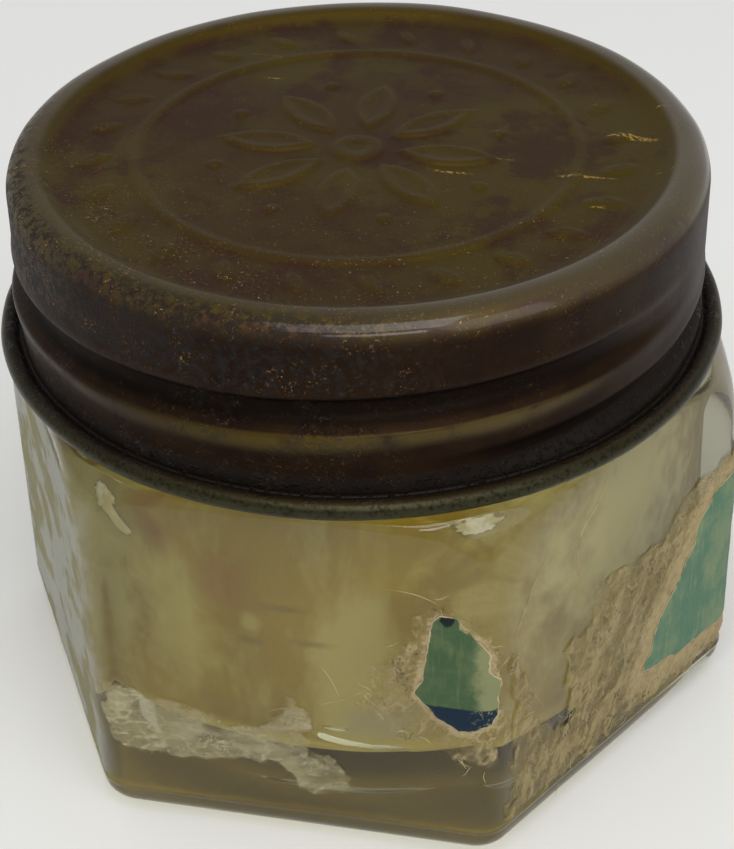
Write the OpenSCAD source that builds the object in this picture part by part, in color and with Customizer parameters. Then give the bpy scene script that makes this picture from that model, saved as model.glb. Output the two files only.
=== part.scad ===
// Six-sided glass ointment pot with a pressed-metal screw lid, its liner, its filling and the torn remains
// of a paper label. Millimetres. The base stands on z = 0, the lid turns about z and the front flat faces -y.

/* [Glass jar] */
// Distance across the flats of the six-sided body
jar_flats = 49.3; // [48:0.1:60]
// Radius of the upright corners
jar_corner_r = 2.5; // [1.5:0.1:4]
// Height of the glass from the base to the sealing rim
jar_height = 41.7; // [36:0.1:60]
// Radius of the rounded heel round the base
heel_r = 2.2; // [1:0.1:3]
// Radius of the round that runs over the corners of the shoulder
shoulder_r = 14; // [8:0.5:18]
// How far the corners have rounded in at the top of the shoulder
shoulder_fall = 2.1; // [1:0.1:3]
// Radius of the edge between the flats and the top of the shoulder
shoulder_edge_r = 1.2; // [0.6:0.1:1.8]
// Thickness of the glass under the filling
base_thickness = 5; // [4:0.1:10]
// Bore of the mouth and of the well
bore_d = 40; // [34:0.1:41]
// Radius of the rounded floor of the well
well_floor_r = 4; // [2:0.1:9]
// Radius of the edges of the sealing rim
rim_edge_r = 0.8; // [0.4:0.1:1.1]
// Diameter of the shallow hollow under the base
base_hollow_d = 32; // [20:1:38]
// Depth of the shallow hollow under the base
base_hollow_depth = 0.6; // [0.3:0.1:1.2]

/* [Screw thread] */
// Diameter of the plain neck between the threads
neck_d = 46.4; // [45.6:0.1:47]
// Rise per turn of the right-hand thread
thread_pitch = 5.08; // [4.6:0.01:5.6]
// Turns of thread on the glass
thread_turns = 1; // [0.8:0.05:1.2]
// Height of the glass thread over the neck
thread_depth = 1.2; // [0.9:0.05:1.4]
// Width of the glass thread at its root
thread_width = 1.7; // [1.4:0.1:2]
// Width of the glass thread along its crest
thread_crest_width = 0.9; // [0.6:0.1:1.2]
// Distance from the sealing rim to the middle of the thread's upper end
rim_to_thread = 1.4; // [1.2:0.1:2.5]
// Direction of the lower end of the glass thread
thread_start_angle = -31; // [-180:1:180]
// Angle over which each end of a thread fades away
thread_fade = 50; // [30:5:80]
// Radial room between the glass thread and the skirt of the lid
thread_radial_gap = 0.3; // [0.2:0.05:0.5]
// Radial room between the thread of the lid and the neck
neck_gap = 0.35; // [0.25:0.05:0.5]
// Room along the axis between the two threads
thread_axial_gap = 0.2; // [0.15:0.05:0.4]

/* [Lid] */
// Thickness of the sheet metal
sheet = 0.3; // [0.2:0.05:0.4]
// Depth of the sunk top panel below the rim
panel_depth = 0.8; // [0.4:0.1:1.2]
// Width of the flat on top of the rim
rim_flat = 0.8; // [0.4:0.1:1.5]
// Width of the slope between the rim and the panel
rim_slope = 1.1; // [0.6:0.1:2]
// Radius of the rounded edge between the top and the skirt
knuckle_r = 1.8; // [1:0.1:2.4]
// Diameter of the curl along the bottom edge
curl_d = 1.7; // [1.3:0.1:2.2]
// Width of the slit where the curl closes on the skirt
curl_slit = 0.15; // [0.1:0.05:0.25]
// Width of the thread groove outside the skirt
groove_width = 2.2; // [1.8:0.1:2.4]
// Width of the thread groove along its floor
groove_floor_width = 0.7; // [0.5:0.1:1]
// Turns of the thread in the lid
ridge_turns = 1.06; // [0.9:0.02:1.2]
// Angle over which the thread in the lid runs on below its lower end
ridge_lead = 45; // [20:5:60]
// Room between the curl of the lid and the glass shoulder
shoulder_gap = 0.6; // [0.3:0.1:1.5]

/* [Lid ornament] */
// Height of the pressed ornament over the panel
relief_height = 0.35; // [0.2:0.05:0.6]
// Radius of the plain raised ring
ring_r = 15.75; // [14:0.05:16.5]
// Width of the plain raised ring
ring_width = 1.2; // [0.8:0.1:1.6]
// Number of leaves in the border
border_leaves = 24; // [12:1:30]
// Length of a border leaf
leaf_length = 3.2; // [2:0.1:3.6]
// Width of a border leaf
leaf_width = 1.5; // [1:0.1:2]
// Tilt of a border leaf from the radius
leaf_tilt = 32; // [0:1:60]
// Number of petals in the rosette
rosette_petals = 8; // [5:1:10]
// Length of a rosette petal
petal_length = 7.4; // [5:0.1:8]
// Width of a rosette petal
petal_width = 3.2; // [2:0.1:3.6]
// Diameter of the eye of the rosette
rosette_eye_d = 4; // [2:0.1:5]
// Space between the eye and the petals
petal_gap = 0.8; // [0.4:0.1:1.2]
// Diameter of the beads between the petals
bead_d = 1.2; // [0.8:0.1:1.6]

/* [Liner and filling] */
// Thickness of the pulp-board wad in the lid
card_thickness = 1; // [0.6:0.1:1.6]
// Thickness of the waxed facing on the wad
facing_thickness = 0.2; // [0.1:0.05:0.3]
// Room round the liner inside the skirt
liner_gap = 0.3; // [0.2:0.05:0.6]
// Free height between the filling and the sealing rim
headspace = 6.2; // [4.5:0.1:9]
// Room between the filling and the glass
filling_gap = 0.05; // [0.03:0.01:0.1]

/* [Label remains] */
// Bare glass between the label and the round of a corner
label_margin = 0.2; // [0.1:0.05:1]
// Thickness of the torn backing paper
backing_thickness = 0.1; // [0.08:0.01:0.2]
// Thickness of the printed ply
print_thickness = 0.12; // [0.08:0.01:0.2]
// Thickness of the film of glue under each paper
glue_film = 0.03; // [0.02:0.01:0.06]

/* [Hidden] */
$fn = 96;

// How far a cut runs past its face, and a raised piece sinks into its carrier
overlap = 0.3;
thread_steps = 60;
flats = 6;
flat_step = 360 / flats;

// The corner between two flats, and how far from the axis its round reaches
corner_axis_r = (jar_flats / 2 - jar_corner_r) / cos(flat_step / 2);
corner_reach = corner_axis_r + jar_corner_r;

// Radii from the bore outwards, through the thread, to the curl of the lid
bore_r = bore_d / 2;
neck_r = neck_d / 2;
thread_crest_r = neck_r + thread_depth;
skirt_inner_r = thread_crest_r + thread_radial_gap;
skirt_r = skirt_inner_r + sheet;
ridge_crest_r = neck_r + neck_gap;
curl_r = curl_d / 2;
curl_axis_r = skirt_inner_r + curl_r;
knuckle_axis_r = skirt_r - knuckle_r;
rim_inner_r = knuckle_axis_r - rim_flat;
panel_r = rim_inner_r - rim_slope;
liner_r = skirt_inner_r - liner_gap;

// Heights from the sealing rim upwards, through the liner, to the rim of the lid
card_z = jar_height + facing_thickness;
panel_under_z = card_z + card_thickness;
panel_z = panel_under_z + sheet;
lid_top_z = panel_z + panel_depth;
knuckle_axis_z = lid_top_z - knuckle_r;
relief_z = panel_z - sheet / 2;
relief_thickness = relief_height + sheet / 2;

// Heights from the sealing rim downwards, through the threads and the curl, to the shoulder
ridge_width = groove_width + sheet;
ridge_crest_width = groove_floor_width + sheet;
thread_offset = (thread_width + ridge_width) / 2 + thread_axial_gap;
thread_low_z = jar_height - rim_to_thread - thread_turns * thread_pitch;
ridge_low_z = thread_low_z - thread_offset;
curl_axis_z = ridge_low_z - ridge_width / 2 - curl_r;
shoulder_z = curl_axis_z - curl_r - shoulder_gap;
shoulder_start_z = shoulder_z - sqrt(shoulder_fall * (2 * shoulder_r - shoulder_fall));
filling_top_z = jar_height - headspace;

// Thread ends are this deep, as a share of the full depth, and this wide
least_depth = 0.02;
end_width = 0.35;

// Places of the ornament between the rosette's eye and the sunk panel's edge
petal_r = rosette_eye_d / 2 + petal_gap + petal_length / 2;
bead_ring_r = petal_r + petal_length / 2;
leaf_ring_r = (ring_r + ring_width / 2 + panel_r) / 2;

// Papers lie one over the other on the glass. The torn outlines count 25.2 units across the label's width.
flat_width = (jar_flats - 2 * jar_corner_r) * tan(flat_step / 2);
label_unit = (flat_width - 2 * label_margin) / 25.2;
backing_offset = glue_film;
print_offset = backing_offset + backing_thickness + glue_film;
corner_turn = flat_step / 2;
side_turn = flat_step;

// Six-sided outline with rounded corners
module rounded_hexagon(width, corner_r) {
    axis_r = (width / 2 - corner_r) / cos(flat_step / 2);
    polygon([
        for (i = [0 : flats - 1], side = [-1, 1])
            let (turn = i * flat_step, lean = turn + side * flat_step / 2)
                [axis_r * cos(turn) + corner_r * cos(lean), axis_r * sin(turn) + corner_r * sin(lean)]
    ]);
    for (i = [0 : flats - 1])
        rotate(i * flat_step)
            translate([axis_r, 0])
                circle(corner_r);
}

// Upright section across a pair of flats, with rounded heels and rounded shoulder edges
module flats_section() {
    heel_x = jar_flats / 2 - heel_r;
    edge_x = jar_flats / 2 - shoulder_edge_r;
    edge_z = shoulder_z - shoulder_edge_r;
    translate([-jar_flats / 2, heel_r])
        square([jar_flats, edge_z - heel_r]);
    translate([-heel_x, 0])
        square([2 * heel_x, heel_r]);
    translate([-edge_x, edge_z])
        square([2 * edge_x, shoulder_edge_r]);
    for (side = [-1, 1]) {
        translate([side * heel_x, heel_r])
            circle(heel_r);
        translate([side * edge_x, edge_z])
            circle(shoulder_edge_r);
    }
}

// Half section that rounds the corners over at the shoulder
module shoulder_section() {
    round_axis_r = corner_reach - shoulder_r;
    square([corner_reach + overlap, shoulder_start_z]);
    intersection() {
        square([corner_reach, shoulder_z]);
        union() {
            square([round_axis_r, shoulder_z]);
            translate([round_axis_r, shoulder_start_z])
                circle(shoulder_r);
        }
    }
}

// Half section of the neck as a solid plug, with the outer edge of its rim rounded
module neck_section() {
    edge_axis_r = neck_r - rim_edge_r;
    translate([0, shoulder_z - overlap])
        square([neck_r, jar_height - rim_edge_r - shoulder_z + overlap]);
    translate([0, jar_height - 2 * rim_edge_r])
        square([edge_axis_r, 2 * rim_edge_r]);
    translate([edge_axis_r, jar_height - rim_edge_r])
        circle(rim_edge_r);
}

// Half section of a round well with a rounded floor
module well_section(radius, floor_z, floor_r, top_z) {
    translate([0, floor_z + floor_r])
        square([radius, top_z - floor_z - floor_r]);
    translate([0, floor_z])
        square([radius - floor_r, floor_r]);
    intersection() {
        translate([radius - floor_r, floor_z + floor_r])
            circle(floor_r);
        translate([radius - floor_r, floor_z])
            square(floor_r);
    }
}

// Half section of what the rounded inner edge of the rim leaves open
module mouth_section() {
    difference() {
        translate([bore_r - overlap, jar_height - rim_edge_r])
            square([rim_edge_r + overlap, rim_edge_r + overlap]);
        translate([bore_r + rim_edge_r, jar_height - rim_edge_r])
            circle(rim_edge_r);
    }
}

// Share of its full depth that a thread has at one angle along its length
function depth_at(angle, from, to) =
    max(least_depth, min(1, (angle - from) / thread_fade, (to - angle) / thread_fade));

// Cross-section of a thread at one angle: root low, root high, crest high, crest low
function thread_ring(angle, low_z, root_r, crest_r, root_width, crest_width, depth) =
    let (
        z = low_z + thread_pitch * angle / 360,
        turn = thread_start_angle + angle,
        here_r = root_r + (crest_r - root_r) * depth,
        share = end_width + (1 - end_width) * depth,
        root = root_width / 2 * share,
        crest = crest_width / 2 * share
    )
    [
        for (p = [[root_r, -root], [root_r, root], [here_r, crest], [here_r, -crest]])
            [p[0] * cos(turn), p[0] * sin(turn), z + p[1]]
    ];

// Solid swept along the right-hand thread between two angles, fading away at both ends. Its faces are listed
// for a crest inside the root, and turned round for a crest outside it.
module thread_sweep(low_z, from, to, root_r, crest_r, root_width, crest_width) {
    steps = ceil((to - from) / 360 * thread_steps);
    rings = [
        for (i = [0 : steps])
            let (angle = from + (to - from) * i / steps)
                thread_ring(
                    angle, low_z, root_r, crest_r, root_width, crest_width, depth_at(angle, from, to)
                )
    ];
    sides = [
        for (i = [0 : steps - 1], k = [0 : 3])
            let (a = 4 * i + k, b = 4 * i + (k + 1) % 4)
                each [[a, b, b + 4], [a, b + 4, a + 4]]
    ];
    last = 4 * steps;
    ends = [[2, 1, 0], [3, 2, 0], [last, last + 1, last + 2], [last, last + 2, last + 3]];
    faces = concat(sides, ends);
    turned = [for (f = faces) [f[2], f[1], f[0]]];
    polyhedron([for (ring = rings) each ring], crest_r < root_r ? faces : turned);
}

// Thread moulded on the outside of the neck
module glass_thread() {
    thread_sweep(
        thread_low_z, 0, 360 * thread_turns,
        neck_r - overlap, thread_crest_r, thread_width, thread_crest_width
    );
}

// Thread of the lid as a ridge inside its skirt
module lid_ridge() {
    thread_sweep(
        ridge_low_z, -ridge_lead, 360 * ridge_turns,
        skirt_r - sheet / 2, ridge_crest_r, ridge_width, ridge_crest_width
    );
}

// Groove that the same pressing leaves outside the skirt, one sheet outside the ridge
module lid_groove() {
    thread_sweep(
        ridge_low_z, -ridge_lead, 360 * ridge_turns,
        skirt_r + sheet / 2, ridge_crest_r + sheet, groove_width, groove_floor_width
    );
}

// Half section of the curl, open where it closes on the skirt
module curl_section() {
    difference() {
        translate([curl_axis_r, curl_axis_z])
            circle(curl_r);
        translate([curl_axis_r, curl_axis_z])
            circle(curl_r - sheet);
        translate([skirt_inner_r, curl_axis_z])
            square([sheet + curl_slit, curl_d]);
    }
}

// Half section of the rounded edge between the top and the skirt
module knuckle_section() {
    translate([knuckle_axis_r, knuckle_axis_z])
        intersection() {
            difference() {
                circle(knuckle_r);
                circle(knuckle_r - sheet);
            }
            square(knuckle_r);
        }
}

// Half section of the lid's sheet: panel, slope, rim, knuckle, skirt and curl
module lid_section() {
    translate([0, panel_under_z])
        square([panel_r, sheet]);
    polygon([
        [panel_r, panel_under_z],
        [rim_inner_r, lid_top_z - sheet],
        [rim_inner_r, lid_top_z],
        [panel_r, panel_z]
    ]);
    translate([rim_inner_r, lid_top_z - sheet])
        square([rim_flat, sheet]);
    knuckle_section();
    translate([skirt_inner_r, curl_axis_z])
        square([sheet, knuckle_axis_z - curl_axis_z]);
    curl_section();
}

// Leaf outline between two equal arcs
module leaf(length, width) {
    arc_r = (length * length + width * width) / (4 * width);
    intersection_for (side = [-1, 1])
        translate([0, side * (arc_r - width / 2)])
            circle(arc_r);
}

// Plain ring pressed up from the panel
module raised_ring() {
    bow_r = (ring_width * ring_width / 4 + relief_height * relief_height) / (2 * relief_height);
    rotate_extrude()
        intersection() {
            translate([ring_r, panel_z + relief_height - bow_r])
                circle(bow_r);
            translate([ring_r - ring_width, relief_z])
                square([2 * ring_width, relief_thickness]);
        }
}

// Border of tilted leaves, a rosette and beads, pressed up from the panel
module ornament() {
    translate([0, 0, relief_z])
        linear_extrude(relief_thickness) {
            for (i = [0 : border_leaves - 1])
                rotate(i * 360 / border_leaves)
                    translate([leaf_ring_r, 0])
                        rotate(leaf_tilt)
                            leaf(leaf_length, leaf_width);
            for (i = [0 : rosette_petals - 1])
                rotate(i * 360 / rosette_petals) {
                    translate([petal_r, 0])
                        leaf(petal_length, petal_width);
                    rotate(180 / rosette_petals)
                        translate([bead_ring_r, 0])
                            circle(d = bead_d);
                }
            circle(d = rosette_eye_d);
        }
}

// Paper on one flat. Its outline is drawn as seen from in front: [distance from the flat's middle, height].
module flat_paper(turn, offset, thickness, outline) {
    rotate(turn)
        translate([0, -jar_flats / 2 - offset, 0])
            rotate([90, 0, 0])
                linear_extrude(thickness)
                    polygon(outline * label_unit);
}

// Paper bent round the front right corner. Its outline is drawn as seen from in front of the corner:
// [distance from the corner, height].
module corner_paper(offset, thickness, outline) {
    inner = jar_flats + 2 * offset;
    outer = inner + 2 * thickness;
    intersection() {
        linear_extrude(shoulder_z)
            difference() {
                rounded_hexagon(outer, jar_corner_r + offset + thickness);
                rounded_hexagon(inner, jar_corner_r + offset);
            }
        rotate(corner_turn)
            rotate([90, 0, 0])
                linear_extrude(outer)
                    polygon(outline * label_unit);
    }
}

module glass_jar() {
    color("#b9b98f")
        difference() {
            union() {
                intersection() {
                    linear_extrude(shoulder_z)
                        rounded_hexagon(jar_flats, jar_corner_r);
                    intersection_for (i = [0 : flats / 2 - 1])
                        rotate([90, 0, 90 + i * flat_step])
                            linear_extrude(3 * jar_flats, center = true)
                                flats_section();
                    rotate_extrude()
                        shoulder_section();
                }
                rotate_extrude()
                    neck_section();
                glass_thread();
            }
            rotate_extrude() {
                well_section(bore_r, base_thickness, well_floor_r, jar_height + overlap);
                mouth_section();
            }
            translate([0, 0, -base_hollow_depth])
                cylinder(
                    h = 2 * base_hollow_depth,
                    d1 = base_hollow_d + 4 * base_hollow_depth,
                    d2 = base_hollow_d - 4 * base_hollow_depth
                );
        }
}

module ointment() {
    color("#8c7d4b")
        rotate_extrude()
            well_section(
                bore_r - filling_gap, base_thickness + filling_gap, well_floor_r - filling_gap, filling_top_z
            );
}

module liner_card() {
    color("#9a8664")
        translate([0, 0, card_z])
            cylinder(h = card_thickness, r = liner_r);
}

module liner_facing() {
    color("#d8cda8")
        translate([0, 0, jar_height])
            cylinder(h = facing_thickness, r = liner_r);
}

module lid_shell() {
    color("#43341c")
        difference() {
            union() {
                rotate_extrude()
                    lid_section();
                lid_ridge();
                raised_ring();
                ornament();
            }
            lid_groove();
        }
}

module front_backing() {
    outline = [
        [-12.6, 11.5], [-9, 11.4], [-6.2, 11.5], [-4.1, 10.3], [-1.9, 10.5], [0.2, 13.2], [1.5, 12.4],
        [1.5, 8.9], [4.4, 6.4], [3.9, 4.4], [0.6, 4.9], [-0.7, 6.7], [-3.9, 6.2], [-9.3, 5.7], [-12.6, 5.4]
    ];
    color("#a79f80")
        flat_paper(0, backing_offset, backing_thickness, outline);
}

module corner_backing() {
    outline = [
        [-7.4, 16.4], [-5.6, 18.4], [-4.4, 21.4], [-3.4, 22.6], [-1.4, 22.4], [0.4, 20.8], [1.1, 19.6],
        [1.1, 8.6], [-0.6, 8.2], [-2, 9.4], [-3.4, 10.6], [-5, 10.4], [-6.4, 11.6], [-7.6, 13.2]
    ];
    color("#a08f6c")
        corner_paper(backing_offset, backing_thickness, outline);
}

module corner_scrap() {
    outline = [
        [-3.4, 21.4], [-3, 21.9], [-2, 21.8], [-1.8, 21], [-0.6, 20.2], [0.3, 18.8], [0.4, 17.4], [0.9, 16.4],
        [1, 13.4], [0.4, 12.5], [-1.4, 11.9], [-1.9, 11.6], [-2.4, 12.3], [-3.2, 12.8], [-4.5, 14.9],
        [-4.1, 16.4], [-3.8, 19]
    ];
    color("#577a5b")
        corner_paper(print_offset, print_thickness, outline);
}

module side_backing() {
    outline = [
        [-12.6, 18.6], [-12, 18.2], [-10.7, 15.1], [-9.4, 9.9], [-5.9, 8.5], [-6.5, 11.7], [-6.3, 14.9],
        [-3.4, 16.2], [-3.8, 19.1], [0, 18.7], [2.3, 17.9], [4.9, 17.9], [6.8, 20.4], [10.1, 21.1],
        [12.6, 22.2], [12.6, 3.4], [8.9, 2.8], [2.7, 3.1], [-3.2, 2.7], [-8.6, 2.6], [-12.6, 3.2]
    ];
    color("#a08f6c")
        flat_paper(side_turn, backing_offset, backing_thickness, outline);
}

module side_scrap() {
    outline = [
        [12.5, 19.4], [11.3, 18.9], [9.6, 17.3], [8.4, 14.7], [6.8, 12.3], [4.7, 10.6], [3.9, 8], [2.8, 6.5],
        [7.4, 5.6], [12.5, 5.2]
    ];
    color("#678a76")
        flat_paper(side_turn, print_offset, print_thickness, outline);
}

glass_jar();
ointment();
liner_card();
liner_facing();
lid_shell();
front_backing();
corner_backing();
corner_scrap();
side_backing();
side_scrap();
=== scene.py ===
"""Dresses the six-sided ointment pot: moulded glass, pressed lid, lined cap, old filling and torn label."""

import logging
import math
from dataclasses import dataclass, field
from enum import Enum
from typing import Callable, Mapping, Sequence, Union

import bpy
import numpy as np
from mathutils import Matrix, Vector


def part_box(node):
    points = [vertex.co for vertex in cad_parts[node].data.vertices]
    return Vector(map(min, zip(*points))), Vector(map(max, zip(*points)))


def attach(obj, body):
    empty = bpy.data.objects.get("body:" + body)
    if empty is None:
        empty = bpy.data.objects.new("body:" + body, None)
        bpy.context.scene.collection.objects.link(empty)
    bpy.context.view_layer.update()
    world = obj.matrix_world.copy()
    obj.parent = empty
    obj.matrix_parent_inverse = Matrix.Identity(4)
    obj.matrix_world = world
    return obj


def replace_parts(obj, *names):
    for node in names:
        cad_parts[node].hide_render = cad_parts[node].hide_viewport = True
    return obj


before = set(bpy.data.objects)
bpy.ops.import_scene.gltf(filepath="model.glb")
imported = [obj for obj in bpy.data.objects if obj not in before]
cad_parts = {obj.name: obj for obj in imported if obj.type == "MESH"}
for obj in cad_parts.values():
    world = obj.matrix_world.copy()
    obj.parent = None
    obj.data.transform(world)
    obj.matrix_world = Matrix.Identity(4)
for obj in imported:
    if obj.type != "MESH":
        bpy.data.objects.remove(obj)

LOG = logging.getLogger("ointment_pot")
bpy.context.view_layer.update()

# Sizes in this script are in millimetres and angles in degrees, unless a name says otherwise.
MM = 0.001
FLATS = 6
FLAT_STEP = 360 / FLATS
HALF_STEP_RAD = math.radians(FLAT_STEP / 2)
TINY = 1e-6

# A feed is a wire, a number, a vector, or a colour as "#rrggbb". A shape is points and faces.
Feed = Union["Wire", float, str, Sequence[float]]
Shape = tuple[np.ndarray, list[tuple[int, ...]]]


class Body(str, Enum):
    """The rigid bodies that pieces ride on."""

    JAR = "jar"
    LINER = "liner"
    LID = "lid"


class Slot(str, Enum):
    """The record's material slots."""

    GLASS = "glass"
    OINTMENT = "ointment"
    CARD = "card"
    WAXED_PAPER = "waxed_paper"
    LID_METAL = "lid_metal"
    BACKING = "label_backing"
    PRINT = "label_print"


def shade(code: str) -> tuple[float, float, float, float]:
    """Turns a colour written as on a screen into the linear colour that a shader takes.

    Args:
        code: the colour as "#rrggbb".

    Returns:
        Linear red, green, blue and an alpha of 1.
    """
    parts = [int(code[i:i + 2], 16) / 255 for i in (1, 3, 5)]
    linear = [p / 12.92 if p <= 0.04045 else ((p + 0.055) / 1.055) ** 2.4 for p in parts]
    return (*linear, 1.0)


def ease(value: np.ndarray | float, low: float, high: float) -> np.ndarray:
    """Smooth step from 0 at low to 1 at high, falling where high is below low."""
    share = np.clip((value - low) / (high - low), 0, 1)
    return share * share * (3 - 2 * share)


def turned(x: np.ndarray, y: np.ndarray, angle: float) -> tuple[np.ndarray, np.ndarray]:
    """Turns points of the plane anticlockwise about its origin."""
    turn = math.radians(angle)
    return x * math.cos(turn) - y * math.sin(turn), x * math.sin(turn) + y * math.cos(turn)


class Ripple:
    """Repeatable smooth unevenness in the plane or in space, as a sum of seeded waves."""

    WAVES = 9
    FADING = 0.55
    SPREAD = (0.6, 1.4)

    def __init__(self, seed: int, length: float, octaves: int = 2, axes: int = 3) -> None:
        """Draws the waves.

        Args:
            seed: seeds the directions and phases.
            length: the longest wavelength.
            octaves: how many layers of waves there are, each half as long as the one before.
            axes: 2 for a plane, 3 for space.
        """
        rng = np.random.default_rng(seed)
        self.terms: list[tuple[np.ndarray, np.ndarray, float]] = []
        for octave in range(octaves):
            heading = rng.normal(size=(self.WAVES, axes))
            heading /= np.linalg.norm(heading, axis=1, keepdims=True)
            pace = 2 * math.pi * 2**octave / length * rng.uniform(*self.SPREAD, (self.WAVES, 1))
            phase = rng.uniform(0, 2 * math.pi, self.WAVES)
            self.terms.append((heading * pace, phase, self.FADING**octave))
        self.gain = 1 / math.sqrt(self.WAVES / 2 * sum(share**2 for _, _, share in self.terms)) / 2

    def __call__(self, points: np.ndarray) -> np.ndarray:
        """Height of the unevenness at each point, mostly between -1 and 1."""
        total = sum(share * np.cos(points @ pace.T + phase).sum(-1) for pace, phase, share in self.terms)
        return total * self.gain


def math_operator(operation: str, reflected: bool = False) -> Callable[["Wire", Feed], "Wire"]:
    """Makes a method of Wire that adds a Math node.

    Args:
        operation: what the node does.
        reflected: whether the wire is the second of its two values.

    Returns:
        The method.
    """

    def method(wire: "Wire", other: Feed) -> "Wire":
        """The result of the operation on the wire and another value."""
        feeds = (other, wire) if reflected else (wire, other)
        return wire.tree.maths(operation, *feeds)

    return method


class Wire:
    """An output of a shader node. Arithmetic on wires adds Math nodes."""

    __add__ = math_operator("ADD")
    __radd__ = math_operator("ADD", reflected=True)
    __sub__ = math_operator("SUBTRACT")
    __rsub__ = math_operator("SUBTRACT", reflected=True)
    __mul__ = math_operator("MULTIPLY")
    __rmul__ = math_operator("MULTIPLY", reflected=True)
    __truediv__ = math_operator("DIVIDE")
    __rtruediv__ = math_operator("DIVIDE", reflected=True)
    __pow__ = math_operator("POWER")
    most = math_operator("MAXIMUM")

    def __init__(self, tree: "FinishTree", socket: bpy.types.NodeSocket) -> None:
        """Keeps the socket and the tree that further nodes go into."""
        self.tree = tree
        self.socket = socket

    def size(self) -> "Wire":
        """The value without its sign."""
        return self.tree.maths("ABSOLUTE", self)

    def ease(self, low: float, high: float) -> "Wire":
        """Smooth step from 0 at low to 1 at high, falling where high is below low."""
        sockets = {"Value": self, "From Min": low, "From Max": high}
        return self.tree.node("MapRange", sockets, interpolation_type="SMOOTHSTEP")

    def band(self, low: float, high: float, soft: float) -> "Wire":
        """1 between low and high, falling to 0 over a soft width outside them."""
        return self.ease(low - soft, low) * self.ease(high + soft, high)


class FinishTree:
    """One material, built out of nodes."""

    def __init__(self, name: str) -> None:
        """Makes an empty material.

        Args:
            name: its name.
        """
        self.material = bpy.data.materials.new(name)
        self.material.use_nodes = True
        self.tree = self.material.node_tree
        self.tree.nodes.clear()
        self._place: Wire | None = None

    def node(
        self,
        kind: str,
        sockets: Mapping[str | int, Feed] | None = None,
        out: str | int = 0,
        **settings: str | bool,
    ) -> Wire:
        """Adds one shader node.

        Args:
            kind: the node's type, without the prefix that all of them have.
            sockets: feeds for its inputs, by name or number.
            out: the output to hand back.
            settings: its properties, which are set first.

        Returns:
            That output as a wire.
        """
        made = self.tree.nodes.new("ShaderNode" + kind)
        for key, value in settings.items():
            setattr(made, key, value)
        for key, feed in (sockets or {}).items():
            if isinstance(feed, Wire):
                self.tree.links.new(feed.socket, made.inputs[key])
            else:
                made.inputs[key].default_value = shade(feed) if isinstance(feed, str) else feed
        return Wire(self, made.outputs[out])

    def maths(self, operation: str, *feeds: Feed) -> Wire:
        """A Math node on values or wires."""
        return self.node("Math", dict(enumerate(feeds)), operation=operation)

    def mix(self, share: Feed, first: Feed, second: Feed) -> Wire:
        """Mixes two colours, with the second one showing by a share from 0 to 1."""
        return self.node("Mix", {0: share, 6: first, 7: second}, out=2, data_type="RGBA", clamp_factor=True)

    @property
    def place(self) -> Wire:
        """Position on the piece, which moves with the piece.

        Returns:
            The position in millimetres.
        """
        if self._place is None:
            spot = self.node("TexCoord", out="Object")
            self._place = self.node("VectorMath", {0: spot, "Scale": 1 / MM}, operation="SCALE")
        return self._place

    def axis(self, name: str) -> Wire:
        """One coordinate, X, Y or Z, of the position in millimetres."""
        return self.node("SeparateXYZ", {0: self.place}, out=name)

    def towards(self, angle: float) -> Wire:
        """Distance from the axis in the direction of an angle."""
        turn = math.radians(angle)
        return self.axis("X") * math.cos(turn) + self.axis("Y") * math.sin(turn)

    def radius(self) -> Wire:
        """Distance from the axis."""
        x, y = self.axis("X"), self.axis("Y")
        return (x * x + y * y) ** 0.5

    def stretched(self, stretch: Sequence[float], turn: float = 0.0) -> Wire:
        """The position, turned about z and scaled along each axis, for patterns that run one way."""
        sockets = {"Vector": self.place, "Scale": stretch, "Rotation": (0, 0, math.radians(turn))}
        return self.node("Mapping", sockets)

    def noise(self, scale: float, detail: float = 4, roughness: float = 0.55, at: Wire | None = None) -> Wire:
        """Noise about 0.5.

        Args:
            scale: features to the millimetre.
            detail: finer layers.
            roughness: strength of the finer layers.
            at: where to read it, if not at the plain position.

        Returns:
            The value.
        """
        sockets = {"Vector": at or self.place, "Scale": scale, "Detail": detail, "Roughness": roughness}
        return self.node("TexNoise", sockets)

    def attribute(self, name: str) -> Wire:
        """A value that the mesh carries on its points."""
        return self.node("Attribute", out="Fac", attribute_name=name)

    def sheet(self, lean: float, stretch: float) -> Wire:
        """The place on a paper in millimetres, drawn out along its fibres.

        Args:
            lean: the angle of the fibres above the level.
            stretch: scale along the fibres, below 1 for long ones.

        Returns:
            The place as a vector.
        """
        run, rise = turned(self.attribute("along"), self.axis("Z"), -lean)
        return self.node("CombineXYZ", {"X": run * stretch, "Y": rise})

    def bump(self, height: Wire, depth: float, strength: float) -> Wire:
        """A normal bent by a height map.

        Args:
            height: the height, from 0 to 1.
            depth: the height of 1, in millimetres.
            strength: share of the effect.

        Returns:
            The normal.
        """
        return self.node("Bump", {"Strength": strength, "Distance": depth * MM, "Height": height})

    def principled(self, **sockets: Feed) -> Wire:
        """A Principled shader; underscores in the names stand for spaces."""
        named = {key.replace("_", " "): feed for key, feed in sockets.items()}
        return self.node("BsdfPrincipled", named)

    def ended(self, **shaders: Wire) -> bpy.types.Material:
        """Ends the material in shaders.

        Args:
            shaders: what ends in it, named Surface or Volume.

        Returns:
            The material.
        """
        end = self.tree.nodes.new("ShaderNodeOutputMaterial")
        for key, shader in shaders.items():
            self.tree.links.new(shader.socket, end.inputs[key])
        return self.material

    def finish(self, **sockets: Feed) -> bpy.types.Material:
        """Ends the material in a Principled shader."""
        return self.ended(Surface=self.principled(**sockets))


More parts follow.
